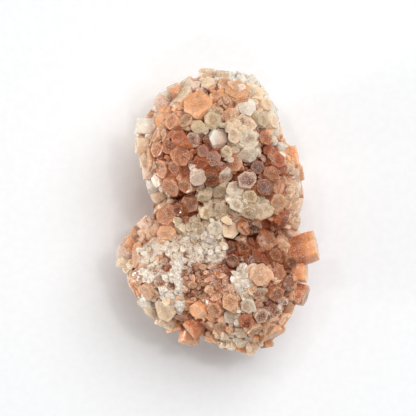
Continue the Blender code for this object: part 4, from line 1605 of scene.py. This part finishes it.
# The stage, in metres
CAMERA_DISTANCE = 1.0
CAMERA_CLIP = 20.0
SENSOR_WIDTH = 36.0
PIXEL_SIZE = 0.25 * MM      # of the photograph, at the height of the cluster's outline
PHOTO_PIXELS = 416
OUTLINE_HEIGHT = 17.0 * MM
VIEW_CENTRE = (-2.75, 0.875)        # in mm, in the growth centres' frame
FLOOR_SIZE = 3.0
FLOOR_CLOUDS = (2.0 * MM, 2.0)
FLOOR_RAMP = (0.4, 0.6)
FLOOR_DIM = 0.985           # the brightness of the floor's darker parts
WORLD_LIGHT = 0.32
# Each light's place, the width of its disk, and its power in watts.
LIGHTS = {
    "key": ((0.52, 0.62, 1.30), 1.4, 17.1),
    "left_fill": ((-1.40, -0.25, 0.11), 0.20, 12.4),
    "sparkle_right": ((0.42, 0.30, 1.45), 0.11, 2.0),
    "sparkle_left": ((-0.40, 0.45, 1.35), 0.11, 1.2),
    "sparkle_near": ((0.10, -0.55, 1.40), 0.11, 1.2),
}


class ARAGONITE_OT_stage(Operator):
    """Set the floor, the lights, the world and the camera"""
    bl_idname = "aragonite.stage"
    bl_label = "Stage"

    def execute(self, context):
        add_floor()
        add_camera()
        for name, (place, size, power) in LIGHTS.items():
            add_light(name, place, size, power)
        light_world()
        context.scene.view_settings.view_transform = "Standard"
        return {"FINISHED"}


def add_floor():
    mesh = bmesh.new()
    bmesh.ops.create_grid(mesh, x_segments=1, y_segments=1, size=FLOOR_SIZE)
    data = bpy.data.meshes.new("floor")
    mesh.to_mesh(data)
    mesh.free()
    material, tree = new_material("pale_floor")
    shader = tree.nodes["Principled BSDF"]
    tone = colours().floor
    patch = ramp_of(tree, noise_of(tree, object_place(tree), *FLOOR_CLOUDS), *FLOOR_RAMP)
    dim = as_colour(value * FLOOR_DIM for value in tone)
    wire(tree, mix_of(tree, patch, dim, as_colour(tone)), shader.inputs["Base Color"])
    shader.inputs["Roughness"].default_value = 0.9
    shader.inputs["Specular IOR Level"].default_value = 0.1
    data.materials.append(material)
    floor = bpy.data.objects.new("floor", data)
    bpy.context.scene.collection.objects.link(floor)


def add_camera():
    """A camera straight above, at the photograph's scale."""
    data = bpy.data.cameras.new("camera")
    data.sensor_width = SENSOR_WIDTH
    data.lens = SENSOR_WIDTH * CAMERA_DISTANCE / (PIXEL_SIZE * PHOTO_PIXELS)
    data.clip_end = CAMERA_CLIP
    camera = bpy.data.objects.new("camera", data)
    shift = part_shift()
    camera.location = ((VIEW_CENTRE[0] + shift.x) * MM, (VIEW_CENTRE[1] + shift.y) * MM,
                       CAMERA_DISTANCE + OUTLINE_HEIGHT)
    bpy.context.scene.collection.objects.link(camera)
    bpy.context.scene.camera = camera


def add_light(name, place, size, power):
    """A disk that shines on the cluster."""
    data = bpy.data.lights.new(name, "AREA")
    data.shape = "DISK"
    data.size = size
    data.energy = power
    light = bpy.data.objects.new(name, data)
    light.location = place
    light.rotation_euler = (-Vector(place)).to_track_quat("-Z", "Y").to_euler()
    bpy.context.scene.collection.objects.link(light)


def light_world():
    """Soft light from all sides."""
    world = bpy.data.worlds.new("studio")
    world.use_nodes = True
    background = world.node_tree.nodes["Background"]
    background.inputs["Color"].default_value = (1.0, 1.0, 1.0, 1.0)
    background.inputs["Strength"].default_value = WORLD_LIGHT
    bpy.context.scene.world = world


class ARAGONITE_PT_panel(Panel):
    """Lists the steps that make the cluster"""
    bl_idname = "ARAGONITE_PT_panel"
    bl_label = "Aragonite"
    bl_space_type = "VIEW_3D"
    bl_region_type = "UI"
    bl_category = "Aragonite"

    def draw(self, context):
        for step in STEPS:
            self.layout.operator(step.bl_idname)
        for group in (context.scene.cluster_sizes, context.scene.cluster_colours):
            box = self.layout.box()
            for name in group.__annotations__:
                box.prop(group, name)


STEPS = (ARAGONITE_OT_ground, ARAGONITE_OT_crystals, ARAGONITE_OT_grains, ARAGONITE_OT_sheets,
         ARAGONITE_OT_stage)
CLASSES = (ClusterSizes, ClusterColours, *STEPS, ARAGONITE_PT_panel)


def register():
    for item in CLASSES:
        bpy.utils.register_class(item)
    bpy.types.Scene.cluster_sizes = PointerProperty(type=ClusterSizes)
    bpy.types.Scene.cluster_colours = PointerProperty(type=ClusterColours)


def unregister():
    del bpy.types.Scene.cluster_colours
    del bpy.types.Scene.cluster_sizes
    for item in reversed(CLASSES):
        bpy.utils.unregister_class(item)


def main():
    register()
    bpy.ops.aragonite.ground()
    bpy.ops.aragonite.crystals()
    bpy.ops.aragonite.grains()
    bpy.ops.aragonite.sheets()
    bpy.ops.aragonite.stage()


if __name__ == "__main__":
    main()
